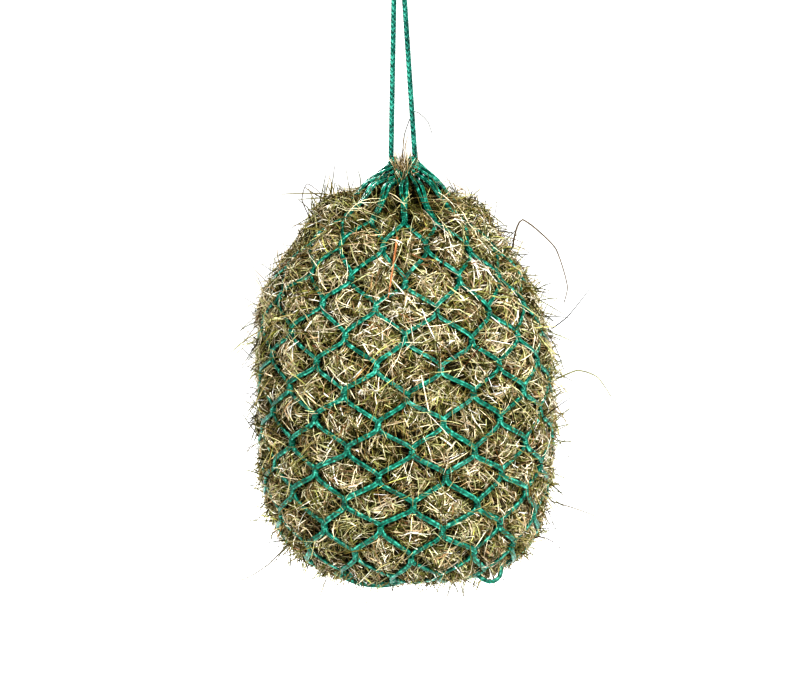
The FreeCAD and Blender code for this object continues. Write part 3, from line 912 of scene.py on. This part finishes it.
def hollowness(distance, angle):
    """0 on a twine and 1 in the middle of a mesh, and how far below the gathered mouth, 0 to 1."""
    radius = bag_radius(distance)
    level = distance - ROW_LEAN * radius * np.sin(angle)
    row = np.interp(level, ROWS, np.arange(len(ROWS), dtype=float))
    column = angle / MESH_STEP
    hollow = np.ones_like(row)
    for hand in (1, -1):
        gap = np.abs(np.mod(column + hand * row / 2 + 0.5, 1) - 0.5)
        hollow = hollow * (1 - np.exp(-((gap / np.maximum(GROOVE, 8 * MM / (radius * MESH_STEP))) ** 2)))
    hollow = hollow * np.clip((ROWS[-1] + 0.03 - level) / 0.03, 0, 1)
    return hollow, np.clip((level - 0.07) / 0.06, 0, 1)


def swelling(distance, angle):
    """Height of the hay's surface over the netting's outline.

    With row number r and column number c, the twines lie where c + r/2 or c - r/2 is a whole number.
    Height = pressed in + swell x (1 - exp(-(gap to one set)^2)) x (1 - exp(-(gap to the other)^2)),
    less the sink below the mouth, and more on the two shoulders, where loose hay covers the twine. Two
    slow waves make some meshes fuller than others.
    """
    hollow, below_mouth = hollowness(distance, angle)
    hollow = hollow * (1 + 0.22 * np.sin(31 * distance + 5 * angle + 1) * np.sin(9 * angle - 47 * distance))
    fullness = np.clip((distance - 0.055) / 0.05, 0, 1)
    height = np.interp(distance, [0.02, 0.05, 0.12, 0.25, 0.4], np.array([-7, -11, 0, 0, -2.5]) * MM)
    height = height + PRESSED_IN * np.clip(distance / 0.12 - 0.4, 0, 1)
    height = height + (SWELL + 3 * MM * (1 - below_mouth)) * hollow * fullness
    sine = np.sin(angle)
    shoulder = np.exp(-(((distance - 0.082) / 0.033) ** 2)) * sine**6 * np.where(sine > 0, 6, 11) * MM
    return height - 1.25 * shoulder_sink(distance) * (1 - 0.6 * np.abs(sine) ** 3) + shoulder


sample = swelling(*np.meshgrid(np.linspace(0.15, 0.6, 300), np.linspace(-3, 3, 300))) / MM
print(f"beside the outline the hay's surface lies from {sample.min():.0f} to {sample.max():.0f} mm out")

# %% [markdown]
# ## The packed hay behind the stalks
#
# Under the loose stalks lies hay too deep to see clearly. It is one closed, padded body that
# follows the same swelling, a little further in, coloured nearly black as painted shade, and shows as
# the dark gaps between the stalks.

# %% Packed hay


def packed_hay(rings, around):
    """A grid round the bag: outline + outward x (swelling - depth - ripples), closed at both ends."""
    distance = np.linspace(0.03, ALONG[-1] - 0.012, rings)[:, None]
    angle = (np.arange(around) * 2 * math.pi / around)[None]
    distance, angle = np.broadcast_arrays(distance, angle)
    place, _, _, outward = on_bag(distance, angle)
    ripple = np.sin(90 * distance + 7 * angle) * np.sin(23 * angle - 60 * distance)
    ripple = ripple + 0.7 * np.sin(170 * distance - 31 * angle + 2 * np.sin(9 * angle))
    depth = (8 * MM + 1.5 * MM * ripple) * np.clip(distance / 0.06, 0.3, 1)
    points = place + outward * (swelling(distance, angle) - depth)[..., None]
    index = np.arange(rings * around).reshape(rings, around)
    turned = np.roll(index, -1, axis=1)
    walls = np.stack([index[:-1], index[1:], turned[1:], turned[:-1]], axis=-1).reshape(-1, 4)
    crown, sole = points[0].mean(0), points[-1].mean(0)
    last = rings * around
    tops = np.stack([np.full(around, last), index[0], turned[0]], axis=-1)
    bottoms = np.stack([np.full(around, last + 1), turned[-1], index[-1]], axis=-1)
    everything = np.concatenate([points.reshape(-1, 3), [crown, sole]])
    return mesh_object("packed_hay", everything, [walls, np.concatenate([tops, bottoms])])


hay_core = packed_hay(rings=160, around=280)
armfuls = [f"hay_armful_{part}" for part in ("top", "upper", "lower", "bottom")]
belongs(hay_core, "bag", "hay", *armfuls)
print("packed hay:", len(hay_core.data.polygons), "faces")

# %% [markdown]
# ## Loose stalks
#
# Hay is grass cut and dried: thin stems and leaf blades from pale straw to dark olive, with the odd
# brown or reddish one. They lie in wisps that share a direction, so the stalks are dealt out in
# wisps: one direction for each wisp, and a little scatter for each stalk. A particle system of hair
# could scatter them too, but it knows nothing of wisps or meshes, and its hairs aren't meshes that
# could be exported. Each stalk is a bent line on the bag, carried on the swelling, with one end often
# standing free.

# %% Colours of the stalks
HAY_COLOURS = np.array(
    [
        [0.60, 0.55, 0.43],  # bleached straw
        [0.42, 0.36, 0.25],  # straw
        [0.27, 0.27, 0.14],  # green straw
        [0.31, 0.23, 0.14],  # tan
        [0.16, 0.16, 0.05],  # olive
        [0.045, 0.047, 0.010],  # dark olive
        [0.15, 0.10, 0.05],  # brown
        [0.17, 0.075, 0.035],  # red-brown seed head
    ]
)
HAY_SHARES = np.array([0.21, 0.22, 0.16, 0.10, 0.10, 0.10, 0.10, 0.01])


def stalk_colours(wisp, generator):
    """A colour for each stalk from its wisp's number: half take the wisp's own, the others any."""
    wisps, count = wisp.max() + 1, len(wisp)
    own = generator.choice(len(HAY_COLOURS), wisps, p=HAY_SHARES)[wisp]
    any_other = generator.choice(len(HAY_COLOURS), count, p=HAY_SHARES)
    pick = np.where(generator.uniform(size=count) < 0.5, own, any_other)
    tone = np.exp(generator.normal(0, 0.4, (count, 1)) + generator.normal(0, 0.18, wisps)[wisp][:, None])
    return np.clip(HAY_COLOURS[pick] * tone, 0.008, 0.75)


def stalk_object(name, lines, facing, half_width, half_thick, colours, shade, slot="hay", nodes=()):
    """Three-sided stalks with a colour attribute that holds painted shade: darker the deeper they lie.

    Painted colour = stalk's colour x painted shade, and x painted shade to the power 1.6 for blue.
    """
    points, faces, uv = sweep(lines, facing, half_width, half_thick, 3)
    piece = mesh_object(name, points, faces, uv)
    painted = colours[:, None] * shade[..., None] ** np.array([1.0, 1.0, 1.6])
    rgba = np.ones((*lines.shape[:2], 3, 4))
    rgba[..., :3] = painted[:, :, None]
    layer = piece.data.attributes.new("stalk_colour_and_shade", "FLOAT_COLOR", "POINT")
    layer.data.foreach_set("color", rgba.astype(np.float32).ravel())
    belongs(piece, "bag", slot, *nodes)
    print(f"{name}: {len(lines)} stalks")


print(len(HAY_COLOURS), "colours of stalk")

# %% Wisps and stalks that lie on the bag


def wisps_on_bag(wisps, stalks_each, generator, low, high):
    """Wisp number, root, direction of each stalk, dealt out evenly by area between two distances."""
    fine = np.linspace(low, high, 600)
    area = np.cumsum(bag_radius(fine))
    distance = np.interp(generator.uniform(0, area[-1], wisps), area, fine)
    angle = generator.uniform(0, 2 * math.pi, wisps)
    way = generator.uniform(0, 2 * math.pi, wisps)
    wisp = np.repeat(np.arange(wisps), stalks_each)
    count = len(wisp)
    distance = distance[wisp] + generator.normal(0, 8, count) * MM
    radius = np.maximum(bag_radius(distance), 0.03)
    angle = angle[wisp] + generator.normal(0, 8, count) * MM / radius
    return wisp, distance, angle, way[wisp] + generator.normal(0, 0.62, count)


def bent_on_bag(distance, angle, way, half_length, bend, lift, tilt, rings, follow=1.0):
    """Stalk lines and their painted shade: t runs from -1 to 1, along = half length x t, aside = bend x t
    squared.

    The place is found on the bag at that distance and angle, and raised by the swelling, the
    stalk's own lift, and tilt x t, so that one end is in and the other out.
    """
    t = np.linspace(-1, 1, rings)[None]
    along = half_length[:, None] * t
    aside = bend[:, None] * (t**2 - 0.4)
    move_down = np.cos(way)[:, None] * along - np.sin(way)[:, None] * aside
    move_across = np.sin(way)[:, None] * along + np.cos(way)[:, None] * aside
    reach = np.clip(distance[:, None] + move_down, 0.004, ALONG[-1] - 0.002)
    radius = np.maximum(bag_radius(distance), 0.035)[:, None]
    turn = angle[:, None] + move_across / radius
    place, _, _, outward = on_bag(reach, turn)
    height = follow * swelling(reach, turn) + lift[:, None] + tilt[:, None] * t
    # painted shade: own is how deep a stalk lies in the coat, the second factor how far it lies below the
    # outline, as in a groove by the twine; deeper stalks are painted darker, the highest a little lighter
    own = np.clip((lift[:, None] + tilt[:, None] * t + 7.5 * MM) / (9 * MM), 0, 1)
    shade = (0.025 + 1.12 * own**2.0) * (0.35 + 0.65 * np.clip((height + 14 * MM) / (16 * MM), 0, 1))
    return place + outward * height[..., None], outward, shade


sample_wisp = wisps_on_bag(4, 9, np.random.default_rng(1), 0.1, 0.5)[0]
print("four wisps of nine stalks are", len(sample_wisp), "stalks")

# %% The coat
COAT_PIECES = 8


def lay_coat(wisps, stalks_each, seed):
    """The bag's coat of stalks, in several pieces cut by angle so that none is too large."""
    generator = np.random.default_rng(seed)
    wisp, distance, angle, way = wisps_on_bag(wisps, stalks_each, generator, 0.04, ALONG[-1] - 0.02)
    count = len(distance)
    half_length = np.exp(generator.normal(math.log(14), 0.42, count)) * MM
    bend = generator.normal(0, 1.5, count) * MM
    lift = generator.uniform(-7.5, 2, count) * MM
    tilt = generator.normal(0, 3.4, count) * MM
    width = np.exp(generator.normal(math.log(0.56), 0.42, count)) * MM
    colours = stalk_colours(wisp, generator)
    lines, outward, shade = bent_on_bag(distance, angle, way, half_length, bend, lift, tilt, 4)
    thin = generator.uniform(0.45, 1.0, count)
    order = np.argsort(np.mod(angle, 2 * math.pi))
    for number, chosen in enumerate(np.array_split(order, COAT_PIECES), start=1):
        size = width[chosen][:, None] * np.array([0.7, 1, 1, 0.45])
        flat = size * thin[chosen][:, None]
        name = f"hay_coat_{number}"
        stalk_object(name, lines[chosen], outward[chosen], size, flat, colours[chosen], shade[chosen])
    print(f"hay coat: {count} stalks in {COAT_PIECES} pieces")


lay_coat(wisps=6450, stalks_each=9, seed=11)

# %% [markdown]
# ## Stalks over the twine, and ends that stand out
#
# A filled net is never clean: some long stalks have worked through the meshes and lie over the twine,
# and ends stick out all round, which makes the outline hairy. Both are dealt out in wisps like the
# coat. The ends leave the bag slantwise. Each end carries one fixed painted shade, and the longest
# ones and those on the shoulders a darker one, painted as the shade of ends that stand against the light.

# %% Stalks that cross over the twine


def crossing_stalks(name, count, seed, low, high):
    """Long thin stalks that lie over the twine between two distances, held only at one end."""
    generator = np.random.default_rng(seed)
    wisp, distance, angle, way = wisps_on_bag(count // 3, 3, generator, low, high)
    count = len(distance)
    half_length = generator.uniform(9, 27, count) * MM
    bend = generator.normal(0, 3, count) * MM
    lift = generator.uniform(0, 7, count) * MM
    tilt = generator.normal(0, 4, count) * MM
    lines, outward, shade = bent_on_bag(
        distance, angle, way, half_length, bend, lift, tilt, 5, follow=0.35
    )
    width = (generator.uniform(0.35, 0.75, count) * MM)[:, None] * np.array([0.6, 1, 1, 0.9, 0.4])
    colours = stalk_colours(wisp, generator)
    stalk_object(name, lines, outward, width, width * 0.7, colours, shade)


crossing_stalks("hay_crossing_top", count=900, seed=23, low=0.06, high=0.27)
crossing_stalks("hay_crossing_low", count=1000, seed=24, low=0.27, high=ALONG[-1] - 0.03)

# %% Ends that stand out


def standing_ends(name, clusters, each, seed, usual, longest, half, dark, low=0.06, high=0.68):
    """Ends that stand out of the bag in small bunches, leaving it slantwise and curling.

    Place = root + length x (t x (slant + outward) + curl x t squared), t from 0 to 1.
    """
    generator = np.random.default_rng(seed)
    wisp, distance, angle, way = wisps_on_bag(clusters, each, generator, low, high)
    count = len(distance)
    place, down, across, outward = on_bag(distance, angle)
    root = place + outward * (swelling(distance, angle) - 3 * MM)[:, None]
    way = way[:, None]
    slant = down * np.cos(way) + across * np.sin(way)
    aside = across * np.cos(way) - down * np.sin(way)
    length = np.clip(np.exp(generator.normal(math.log(usual), 0.5, count)), 7, longest)[:, None, None] * MM
    rise = generator.normal(0.55, 0.18, clusters)[wisp] + generator.normal(0, 0.12, count)
    rise = np.clip(rise, 0.12, 0.85)[:, None, None]
    t = np.linspace(0, 1, 5)[None, :, None]
    bend = generator.normal(0, 0.22, count)[:, None, None]
    drop = generator.uniform(0, 0.3, count)[:, None, None] * np.array([0, 0, -1.0])
    lines = root[:, None] + length * (
        t * (slant[:, None] * np.sqrt(1 - rise**2) + outward[:, None] * rise)
        + t**2 * (aside[:, None] * bend + outward[:, None] * bend * 0.3 + drop)
    )
    facing = carried_facing(lines, across)
    width = (half * generator.uniform(0.6, 1.2, count) * MM)[:, None] * np.array([1, 1, 0.9, 0.8, 0.5])
    colours = stalk_colours(wisp, generator)
    # dark is a painted shade: one fixed darkening along the whole of every end
    stalk_object(name, lines, facing, width, width * 0.8, colours, np.full(lines.shape[:2], dark))


standing_ends("hay_ends", 1500, 4, seed=31, usual=20, longest=44, half=0.75, dark=0.55)
standing_ends("hay_long_ends", 640, 2, seed=33, usual=30, longest=58, half=0.85, dark=0.2)
shoulders = {"low": 0.05, "high": 0.17}
standing_ends("hay_shoulder_ends", 170, 4, seed=37, usual=19, longest=42, half=0.8, dark=0.24, **shoulders)

# %% [markdown]
# ## The tuft at the mouth
#
# The drawn mouth squeezes a tuft of hay up between the two strands. It is a bundle of nearly upright
# stalks that is narrow where the top loops grip it and fans out above and below.

# %% Tuft at the mouth


def mouth_tuft(count, seed):
    """Stalks squeezed up through the gathered mouth, between the two strands of the cord."""
    generator = np.random.default_rng(seed)
    y = generator.uniform(-11, 11, count) * MM
    reach = np.where(y < -5 * MM, 19 * MM, 10.5 * MM)[:, None]
    x = generator.normal(0, 6.5, count) * MM
    low = generator.uniform(-392, -368, count) * MM
    top = MOUTH_HEIGHT + generator.uniform(-22, 9, count) * MM
    long = generator.uniform(0, 1, count) > 0.95
    top = np.where(long, MOUTH_HEIGHT + generator.uniform(15, 44, count) * MM, top)
    t = np.linspace(0, 1, 7)[None]
    lean = generator.normal(0, 1.0, (count, 2)) * 12 * MM
    squeeze = 1.7 - 0.7 * np.sin(np.pi * t**0.7)
    lines = np.stack(
        [
            np.clip(x[:, None] * squeeze + lean[:, :1] * t**2, -reach, reach),
            y[:, None] * squeeze * 0.8 + lean[:, 1:] * t**2,
            low[:, None] + (top - low)[:, None] * t,
        ],
        axis=-1,
    )
    width = (generator.uniform(0.35, 0.85, count) * MM)[:, None] * np.array([1, 1, 1, 1, 0.9, 0.8, 0.4])
    facing = np.broadcast_to([0, 1.0, 0], lines.shape)
    colours = HAY_COLOURS[generator.choice([0, 1, 1, 3, 6], count)] * generator.uniform(0.6, 1.3, (count, 1))
    # painted shade along each stalk: darkest at its root down in the mouth, and painted a little lighter
    # than its own colour at its tip
    shade = np.broadcast_to(np.linspace(0.05, 1.15, 7), lines.shape[:2])
    stalk_object("hay_mouth_tuft", lines, facing, width, width * 0.7, colours, shade)


mouth_tuft(count=190, seed=47)

# %% [markdown]
# ## The longest loose stalks
#
# Some long, bent stalks hang out of a net that has been carried about. They are placed one by one, each
# as a few points, because chance seldom puts one where it tells. The last one is the thick red-brown
# stem on the upper front.

# %% Long loose stalks
# each stalk: its points as (across, towards the back, up) in millimetres, and its half width
LONG_STALKS = [
    ([(136, -60, -455), (142, -70, -412), (188, -78, -450), (205, -80, -505), (198, -78, -525)], 0.75),
    ([(186, -40, -562), (205, -50, -548), (232, -55, -512)], 0.5),
    ([(190, -20, -632), (218, -22, -618), (246, -24, -628), (262, -24, -656)], 0.75),
    ([(182, -30, -790), (214, -34, -800), (244, -36, -812), (256, -36, -836)], 0.6),
    ([(176, -10, -800), (196, -16, -850), (186, -20, -878), (150, -24, -888)], 0.55),
    ([(-160, -20, -838), (-190, -26, -868), (-226, -30, -888), (-262, -30, -878)], 0.75),
    ([(-112, -90, -872), (-124, -98, -902), (-140, -104, -924), (-142, -104, -938)], 0.6),
    ([(-178, 0, -776), (-196, 4, -790), (-216, 6, -806)], 0.5),
    ([(-190, 10, -655), (-206, 12, -642), (-222, 12, -648)], 0.45),
    ([(-118, -30, -420), (-132, -36, -388), (-122, -38, -366), (-104, -38, -384)], 0.5),
    ([(-4, 6, -372), (2, 8, -310), (16, 10, -280), (34, 10, -296), (38, 10, -312)], 0.5),
    ([(60, -110, -878), (66, -118, -905), (74, -122, -922)], 0.5),
    ([(20, 186, -600), (30, 214, -610), (34, 232, -640)], 0.6),
    ([(-70, 172, -730), (-90, 204, -722), (-96, 224, -738)], 0.6),
    ([(90, 160, -500), (110, 186, -480), (124, 200, -492)], 0.5),
    ([(-150, 120, -820), (-176, 140, -846), (-190, 146, -880)], 0.55),
    ([(6, -186, -650), (4, -214, -646), (-2, -228, -660)], 0.5),
    ([(-10, -124, -432), (-13, -137, -448), (-17, -151, -471), (-23, -167, -503)], 1.1),
]


def long_stalk_lines():
    """Half way between each list's straight runs and its smooth curve, so that the bends are kinks."""
    lines, widths = [], []
    for points, half in LONG_STALKS:
        straight = np.array(points) * MM
        both = [straight, smooth_route(straight.tolist())]
        even_lines = [even(line, length_of(line) / 24)[0] for line in both]
        lines.append(0.5 * (even_lines[0] + even_lines[1]))
        widths.append(1.9 * half * MM)
    return np.stack(lines), np.array(widths)


long_lines, long_widths = long_stalk_lines()
taper = np.linspace(1, 0.45, long_lines.shape[1])
long_facing = carried_facing(long_lines, np.broadcast_to([0, 1.0, 0.1], (len(long_lines), 3)))
# painted shade: all but the last stalk are painted at a quarter of their colour, dark as stalks that stand
# against the light
long_colours = stalk_colours(np.arange(len(long_lines)), np.random.default_rng(5)) * 0.25
long_colours[-1] = HAY_COLOURS[7] * 1.9
long_sizes = long_widths[:, None] * taper
long_shade = np.ones(long_sizes.shape)
stalk_object(
    "loose_stalks_bent",
    long_lines,
    long_facing,
    long_sizes,
    long_sizes * 0.7,
    long_colours,
    long_shade,
    slot="stalk",
    nodes=["loose_stalks"],
)

# %% [markdown]
# ## Materials
#
# Cord and twine are the same green polypropylene: smooth plastic yarns, so they have a soft shine.
# Their pattern could be an image, but an image on so thin a cord is easily stretched. The yarns are
# waves of the UV map instead, which follows the strand wherever it goes. The waves make the bump, and
# the yarns' high places carry a painted highlight and their low places painted shade. Hay takes its
# colour from each stalk's own attribute, which also holds painted shade, is a little mottled, and is matt.

# %% Node helpers


class Finish:
    """A material with its own shader, and short ways to add nodes and links to it."""

    def __init__(self, name):
        self.material = bpy.data.materials.new(name)
        self.material.use_nodes = True
        self.tree = self.material.node_tree
        self.shader = self.tree.nodes["Principled BSDF"]
        self.link = self.tree.links.new

    def add(self, kind, **settings):
        """One node with its settings."""
        node = self.tree.nodes.new(kind)
        for key, value in settings.items():
            setattr(node, key, value)
        return node

    def maths(self, operation, *values):
        """One maths node: its inputs are sockets or numbers."""
        node = self.add("ShaderNodeMath", operation=operation)
        for slot, value in enumerate(values):
            if isinstance(value, (int, float)):
                node.inputs[slot].default_value = value
            else:
                self.link(value, node.inputs[slot])
        return node.outputs[0]

    def noise(self, **numbers):
        """Noise in the piece's own coordinates."""
        node = self.add("ShaderNodeTexNoise")
        for socket, value in numbers.items():
            node.inputs[socket].default_value = value
        self.link(self.add("ShaderNodeTexCoord").outputs["Object"], node.inputs["Vector"])
        return node.outputs["Fac"]

    def ramp(self, factor, stops):
        """A colour ramp with the given (place, colour) stops."""
        node = self.add("ShaderNodeValToRGB")
        band = node.color_ramp
        while len(band.elements) < len(stops):
            band.elements.new(0.5)
        for element, (place, colour) in zip(band.elements, stops):
            element.position = place
            element.color = (*colour, 1)
        self.link(factor, node.inputs["Fac"])
        return node.outputs["Color"]

    def bump(self, height, **numbers):
        """A bump from a height, on the shader's normal."""
        node = self.add("ShaderNodeBump")
        for socket, value in numbers.items():
            node.inputs[socket].default_value = value
        self.link(height, node.inputs["Height"])
        self.link(node.outputs["Normal"], self.shader.inputs["Normal"])

    def surface(self, colour, **numbers):
        """The shader's colour from a socket, and its constants set on their own sockets."""
        self.link(colour, self.shader.inputs["Base Color"])
        for socket, value in numbers.items():
            self.shader.inputs[socket.replace("_", " ")].default_value = value
        return self.material


print("a finish has", len([name for name in vars(Finish) if not name.startswith("_")]), "tools")

# %% Cord and twine


TWINE_LAY = 5.5 * MM
YARN_SLANT = 40.0


def yarn_material(name, flat_ribbon, deep, body, light):
    """Plastic yarn from the UV map's around and along: high places painted lighter, a painted highlight, low
    places painted deeper, painted shade.

    A flat ribbon is high in its middle and where it passes over:
    form = half of (sin(2 pi around) + cos(2 pi along / over and under)).
    A twine has lengthwise strands, faintly crossed:
    form = 0.7 x (0.4 cos(2 pi along / lay) - cos(8 pi around)).
    Both carry fine yarns on a slant.
    """
    finish = Finish(name)
    maths = finish.maths
    split = finish.add("ShaderNodeSeparateXYZ")
    finish.link(finish.add("ShaderNodeUVMap", uv_map="yarn").outputs[0], split.inputs[0])
    around, along = split.outputs[0], split.outputs[1]
    repeat = OVER_AND_UNDER if flat_ribbon else TWINE_LAY
    wave_along = maths("COSINE", maths("MULTIPLY", along, 2 * math.pi / repeat))
    if flat_ribbon:
        middle = maths("SINE", maths("MULTIPLY", around, 2 * math.pi))
        form = maths("MULTIPLY", maths("ADD", wave_along, middle), 0.5)
        yarns, contrast = 6, 0.26
    else:
        wave_around = maths("COSINE", maths("MULTIPLY", around, 8 * math.pi))
        form = maths("MULTIPLY", maths("SUBTRACT", maths("MULTIPLY", wave_along, 0.4), wave_around), 0.7)
        yarns, contrast = 18, 0.12
    slant = maths("MULTIPLY", along, yarns * YARN_SLANT)
    fine = maths("SINE", maths("ADD", maths("MULTIPLY", around, 2 * math.pi * yarns), slant))
    height = maths("ADD", form, maths("MULTIPLY", fine, 0.25))
    worn = maths("MULTIPLY", finish.noise(Scale=170, Detail=3), 0.9)
    # painted light: the tone follows the relief, so high places are painted towards the light colour, a
    # painted highlight, and low places towards the deep one, painted shade; the noise adds random wear
    tone = maths("ADD", maths("MULTIPLY", height, contrast), worn)
    finish.bump(height, Strength=0.6, Distance=0.0006)
    colour = finish.ramp(tone, [(0.22, deep), (0.5, body), (0.84, light)])
    return finish.surface(colour, Roughness=0.32, Specular_IOR_Level=0.18)


# each finish's tones: painted shade for the low places, the yarn's own green, and a painted highlight for
# the high places
PAINTED_SHADE_GREEN = (0.0, 0.01, 0.006)
CORD_TONES = (PAINTED_SHADE_GREEN, (0.0, 0.07, 0.05), (0.05, 0.28, 0.21))
TWINE_TONES = (PAINTED_SHADE_GREEN, (0.003, 0.115, 0.075), (0.16, 0.62, 0.48))
CORD_GREEN = yarn_material("drawcord_green", True, *CORD_TONES)
TWINE_GREEN = yarn_material("twine_green", False, *TWINE_TONES)
print("yarn finishes:", CORD_GREEN.name, "and", TWINE_GREEN.name)

# %% Hay


def hay_material():
    """Dry stems: each stalk's colour with its painted shade, mottled along its length, matt with a faint
    waxy shine.
    """
    finish = Finish("dry_stalks")
    mottle = finish.ramp(finish.noise(Scale=120), [(0.3, (0.6, 0.58, 0.5)), (0.7, (1.3, 1.3, 1.25))])
    mix = finish.add("ShaderNodeMix", data_type="RGBA", blend_type="MULTIPLY")
    mix.inputs["Factor"].default_value = 1
    own_colour = finish.add("ShaderNodeAttribute", attribute_name="stalk_colour_and_shade").outputs["Color"]
    finish.link(own_colour, mix.inputs[6])
    finish.link(mottle, mix.inputs[7])
    return finish.surface(mix.outputs[2], Roughness=0.55, Specular_IOR_Level=0.08)


def packed_material():
    """Deep hay in painted shade: nearly black olive and brown in fine streaks, with hardly any shine."""
    finish = Finish("packed_hay_dark")
    streaks = finish.noise(Scale=260, Detail=6)
    tones = [(0.35, (0.004, 0.004, 0.001)), (0.55, (0.02, 0.019, 0.006)), (0.75, (0.07, 0.06, 0.022))]
    finish.bump(streaks, Distance=0.003)
    return finish.surface(finish.ramp(streaks, tones), Roughness=0.95)


STALK_MATERIAL = hay_material()
PACKED_MATERIAL = packed_material()
print("hay finishes:", STALK_MATERIAL.name, "and", PACKED_MATERIAL.name)

# %% Give every piece its finish


def finish_of(name):
    """The finish that a piece's name stands for."""
    if name == "packed_hay":
        return PACKED_MATERIAL
    if name.endswith("_braid"):
        return CORD_GREEN
    if name.endswith(("_twine", "_bound")):
        return TWINE_GREEN
    return STALK_MATERIAL


made = [piece for piece in bpy.context.scene.objects if piece.type == "MESH"]
made = [piece for piece in made if piece.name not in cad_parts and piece.name != "floor"]
for piece in made:
    piece.data.materials.clear()
    piece.data.materials.append(finish_of(piece.name))
print(f"{len(made)} pieces have their finish")

# %% [markdown]
# ## The end
#
# The last cell prints how many pieces were made, how many triangles they have, and the most in one
# piece.

# %% Sizes, and the end
shown = [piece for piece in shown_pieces() if piece.type == "MESH"]
triangles = [sum(len(face.vertices) - 2 for face in piece.data.polygons) for piece in shown]
print(f"{len(shown)} pieces, {sum(triangles)} triangles, the largest {max(triangles)}")
